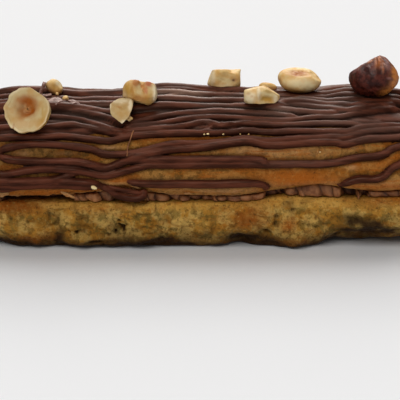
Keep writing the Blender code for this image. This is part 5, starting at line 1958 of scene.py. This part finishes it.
# ---- flakes and crumbs ----
@dataclass
class Scraps:
    """Flakes of skin on top, torn bits of crust at the lip, and small pale crumbs of nut."""

    # Flakes as (along X, up the lid, size, pitch, turn).
    flakes: tuple[tuple[float, float, Triple, float, float], ...] = (
        (-45.6, 31.4, (4.4, 2.6, 0.4), 14, 62), (-41.7, 27, (4.6, 3, 0.4), 14, 100),
        (-36.4, 27, (3.6, 2.6, 0.4), 14, 80), (-46.9, 32.4, (2, 5.8, 0.9), 84, 98))
    flake_roll: float = -10.0
    lift: float = 2.3  # height of the flakes' middles above the crust
    # Crumbs as (along X, up the lid, size, height).
    crumbs: Patches = (
        (-39.4, 30, 1.5, 2.2), (-34, 25.4, 0.8, 1.9), (-20, 18.6, 1.6, 2), (-30, -0.6, 1.8, 1.2),
        (2.2, 13.9, 0.6, 1.2), (6.6, 13.8, 0.5, 1.2), (1.2, 13.8, 0.5, 1.1), (45.8, 24, 0.6, 2),
        (-13, 14.2, 0.7, 0.6), (11.4, 14, 0.4, 1), (13.8, 14, 0.4, 1), (34, 8.9, 0.5, 0.2),
        (-42, 32, 0.9, 2.4))
    # Torn bits of crust on the lip, as (along X, out, height, length, tallness, slope in degrees).
    peels: Patches = (
        (-37.8, 22.3, 16.6, 4.4, 1.3, -24), (19.9, 22.2, 19, 3.8, 0.8, 8),
        (43.2, 22.2, 19.3, 4.6, 0.9, -9), (-56.4, 22, 16.6, 4, 1.4, 12),
        (-19.2, 22.6, 19.2, 5.4, 0.5, -14), (30, 22.4, 20, 3.2, 0.6, 4), (36.4, 22.4, 19.9, 2.8, 0.6, -6),
        (-3, 22, 17, 3.2, 0.6, 3), (4.4, 21.9, 17.1, 2.2, 0.7, -4))
    grain: Grain = Grain(SEED + 8)

    def add_leaf(self, sheet: BMesh, steps: tuple[int, int], bend: Callable[[Array], Array],
                 place: Matrix, thickness: float) -> None:
        """Add one small bent leaf.

        Args:
            sheet: The mesh of all such leaves, which grows.
            steps: Faces along and across it.
            bend: Gives the leaf's points for those of a unit square.
            place: Moves the leaf from the origin to its place.
            thickness: Its thickness.
        """
        made = bmesh.ops.create_grid(sheet, x_segments=steps[0], y_segments=steps[1], size=0.5)["verts"]
        set_points(made, bend(get_points(made)))
        bmesh.ops.transform(sheet, matrix=place, verts=made)
        faces = dict.fromkeys(face for vertex in made for face in vertex.link_faces)
        bmesh.ops.solidify(sheet, geom=list(faces), thickness=thickness)

    def add_peel(self, sheet: BMesh, x: float, out: float, height: float,
                 length: float, tall: float, slope: float) -> None:
        """Add one torn bit of crust that clings to the lip.

        Args:
            sheet: The mesh of all such bits, which grows.
            x: Its place along the loaf.
            out: Its distance in front of the loaf's middle plane.
            height: Its height.
            length: Its length.
            tall: Its tallness.
            slope: How far it is turned about the view from the front, in degrees.
        """
        def bend(flat: Array) -> Array:
            edge = np.sqrt(np.clip(1 - (2 * flat[:, 0]) ** 2, 0.03, 1))
            edge *= 1 + 0.5 * self.grain.at(flat * (length, 1, 1) + x, 0.9)
            bent = 0.25 * np.sin(flat[:, 0] * length * 1.3 + x) + 0.3 * flat[:, 1]
            return as_points(flat[:, 0] * length, flat[:, 1] * tall * edge, bent)

        turn = Euler((math.radians(80), math.radians(-slope), 0.0)).to_matrix().to_4x4()
        place = Matrix.Translation(Vector((x, -out, height))) @ turn
        self.add_leaf(sheet, (18, 6), bend, place, 0.25)

    def add_flake(self, sheet: BMesh, x: float, up: float, size: Triple, pitch: float,
                  turn: float) -> None:
        """Add one bent flake.

        Args:
            sheet: The mesh of all flakes, which grows.
            x: Its place along the loaf.
            up: Its place up the lid.
            size: Its length, width and thickness.
            pitch: How far it stands up, in degrees.
            turn: Its turn on the lid, in degrees.
        """
        def bend(flat: Array) -> Array:
            edge = 1 + 0.3 * self.grain.at(flat + x, 0.45)
            bent = 0.5 * np.sin(flat[:, 0] * 3.0 + x) + 0.35 * np.cos(flat[:, 1] * 4.0 + up)
            return as_points(flat[:, 0] * size[0] * edge, flat[:, 1] * size[1] * edge, bent)

        spot, normal = crust_point(np.array([x]), np.array([up]), self.lift)
        lie = Vector(normal[0]).to_track_quat("Z", "X").to_matrix().to_4x4()
        tilt = Euler([math.radians(angle) for angle in (pitch, self.flake_roll, turn)])
        place = Matrix.Translation(Vector(spot[0])) @ lie @ tilt.to_matrix().to_4x4()
        self.add_leaf(sheet, (14, 10), bend, place, size[2])

    def build(self) -> None:
        """Make the flakes, the torn bits of crust and the crumbs."""
        sheet = bmesh.new()
        for flake in self.flakes:
            self.add_flake(sheet, *flake)
        hand_in(finish_mesh("skin_flakes", sheet), Finish.FLAKE)
        torn = bmesh.new()
        for peel in self.peels:
            self.add_peel(torn, *peel)
        piece = finish_mesh("crust_peels", torn, {"ripe_and_highlight": np.full(len(torn.verts), 0.8)})
        hand_in(piece, Finish.CRUST)
        crumbs = bmesh.new()
        for x, up, size, height in self.crumbs:
            made = bmesh.ops.create_icosphere(crumbs, subdivisions=3, radius=size / 2)["verts"]
            spot, _ = crust_point(np.array([x]), np.array([up]), height)
            ball = get_points(made)
            swell = 1 + 0.35 * self.grain.at(ball * 2 + x, 1.0)
            set_points(made, ball * swell[:, None] * (1.2, 1.0, 0.85) + spot)
        piece = finish_mesh("nut_crumbs", crumbs, {"cut": np.ones(len(crumbs.verts))})
        hand_in(piece, Finish.NUT)


# ---- studio ----
@dataclass
class Studio:
    """Floor, lights and the camera of the photograph."""

    distance: float = 0.5
    elevation: float = 20.0
    aim: Triple = (0.0, 0.0, 0.0069)
    frame_width: float = 0.12
    floor_reach: float = 3.0
    sensor: float = 36.0
    ambient: float = 0.15
    warmth: Triple = (1.0, 0.95, 0.89)
    # Lights as (name, place round the eclair, elevation, apparent width, strength).
    suns: tuple[tuple[str, float, float, float, float], ...] = (
        ("back", 175, 56, 55, 1.9), ("rim", 180, 24, 34, 0.8), ("front", -18, 50, 36, 1.15))

    def camera(self) -> None:
        """Set the camera at the photograph's viewing angle."""
        data = bpy.data.cameras.new("camera")
        data.sensor_width = self.sensor
        data.lens = self.sensor * self.distance / self.frame_width
        data.clip_start = 0.01
        made = add_object("camera", data)
        angle = math.radians(self.elevation)
        back = Vector((0.0, -math.cos(angle), math.sin(angle)))
        made.location = Vector(self.aim) + back * self.distance
        made.rotation_euler = back.to_track_quat("Z", "Y").to_euler()
        bpy.context.scene.camera = made

    def sun(self, name: str, azimuth: float, elevation: float, width: float, strength: float) -> None:
        """Add a wide soft light far away.

        Args:
            name: Its name.
            azimuth: Where it stands round the eclair, 0 at the front and 90 on the right.
            elevation: How high it stands in degrees.
            width: Its apparent width in degrees.
            strength: Its strength.
        """
        data = bpy.data.lights.new(name, "SUN")
        data.energy = strength
        data.angle = math.radians(width)
        data.color = self.warmth
        turn, rise = math.radians(azimuth), math.radians(elevation)
        flat = math.cos(rise)
        toward = Vector((math.sin(turn) * flat, -math.cos(turn) * flat, math.sin(rise)))
        made = add_object(name, data)
        made.location = toward
        made.rotation_euler = toward.to_track_quat("Z", "Y").to_euler()

    def build(self) -> None:
        """Set up the studio."""
        bm = bmesh.new()
        bmesh.ops.create_grid(bm, x_segments=1, y_segments=1, size=self.floor_reach)
        mesh = bpy.data.meshes.new("floor")
        bm.to_mesh(mesh)
        bm.free()
        floor = add_object("floor", mesh)
        mesh.materials.append(Finish.FLOOR.material)
        floor.visible_glossy = False
        world = bpy.data.worlds.new("studio")
        world.use_nodes = True
        sky = world.node_tree.nodes["Background"].inputs
        sky["Color"].default_value = (1.0, 1.0, 1.0, 1.0)
        sky["Strength"].default_value = self.ambient
        bpy.context.scene.world = world
        bpy.context.scene.view_settings.view_transform = "Standard"
        for sun in self.suns:
            self.sun(*sun)
        self.camera()


def main() -> None:
    """Build the eclair's looks piece by piece."""
    logging.basicConfig(level=logging.INFO, format="%(name)s %(message)s")
    strands = ChocolateStrands()
    makers: list[Callable[[], None]] = [
        Studio().build,
        ChouxBase().build,
        PralineCream().build,
        partial(LidCrust().build, strands),
        strands.build,
        Drips().build,
        Scraps().build,
    ]
    makers += [nut.build for nut in NUTS]
    for make in makers:
        make()


if __name__ == "__main__":
    main()
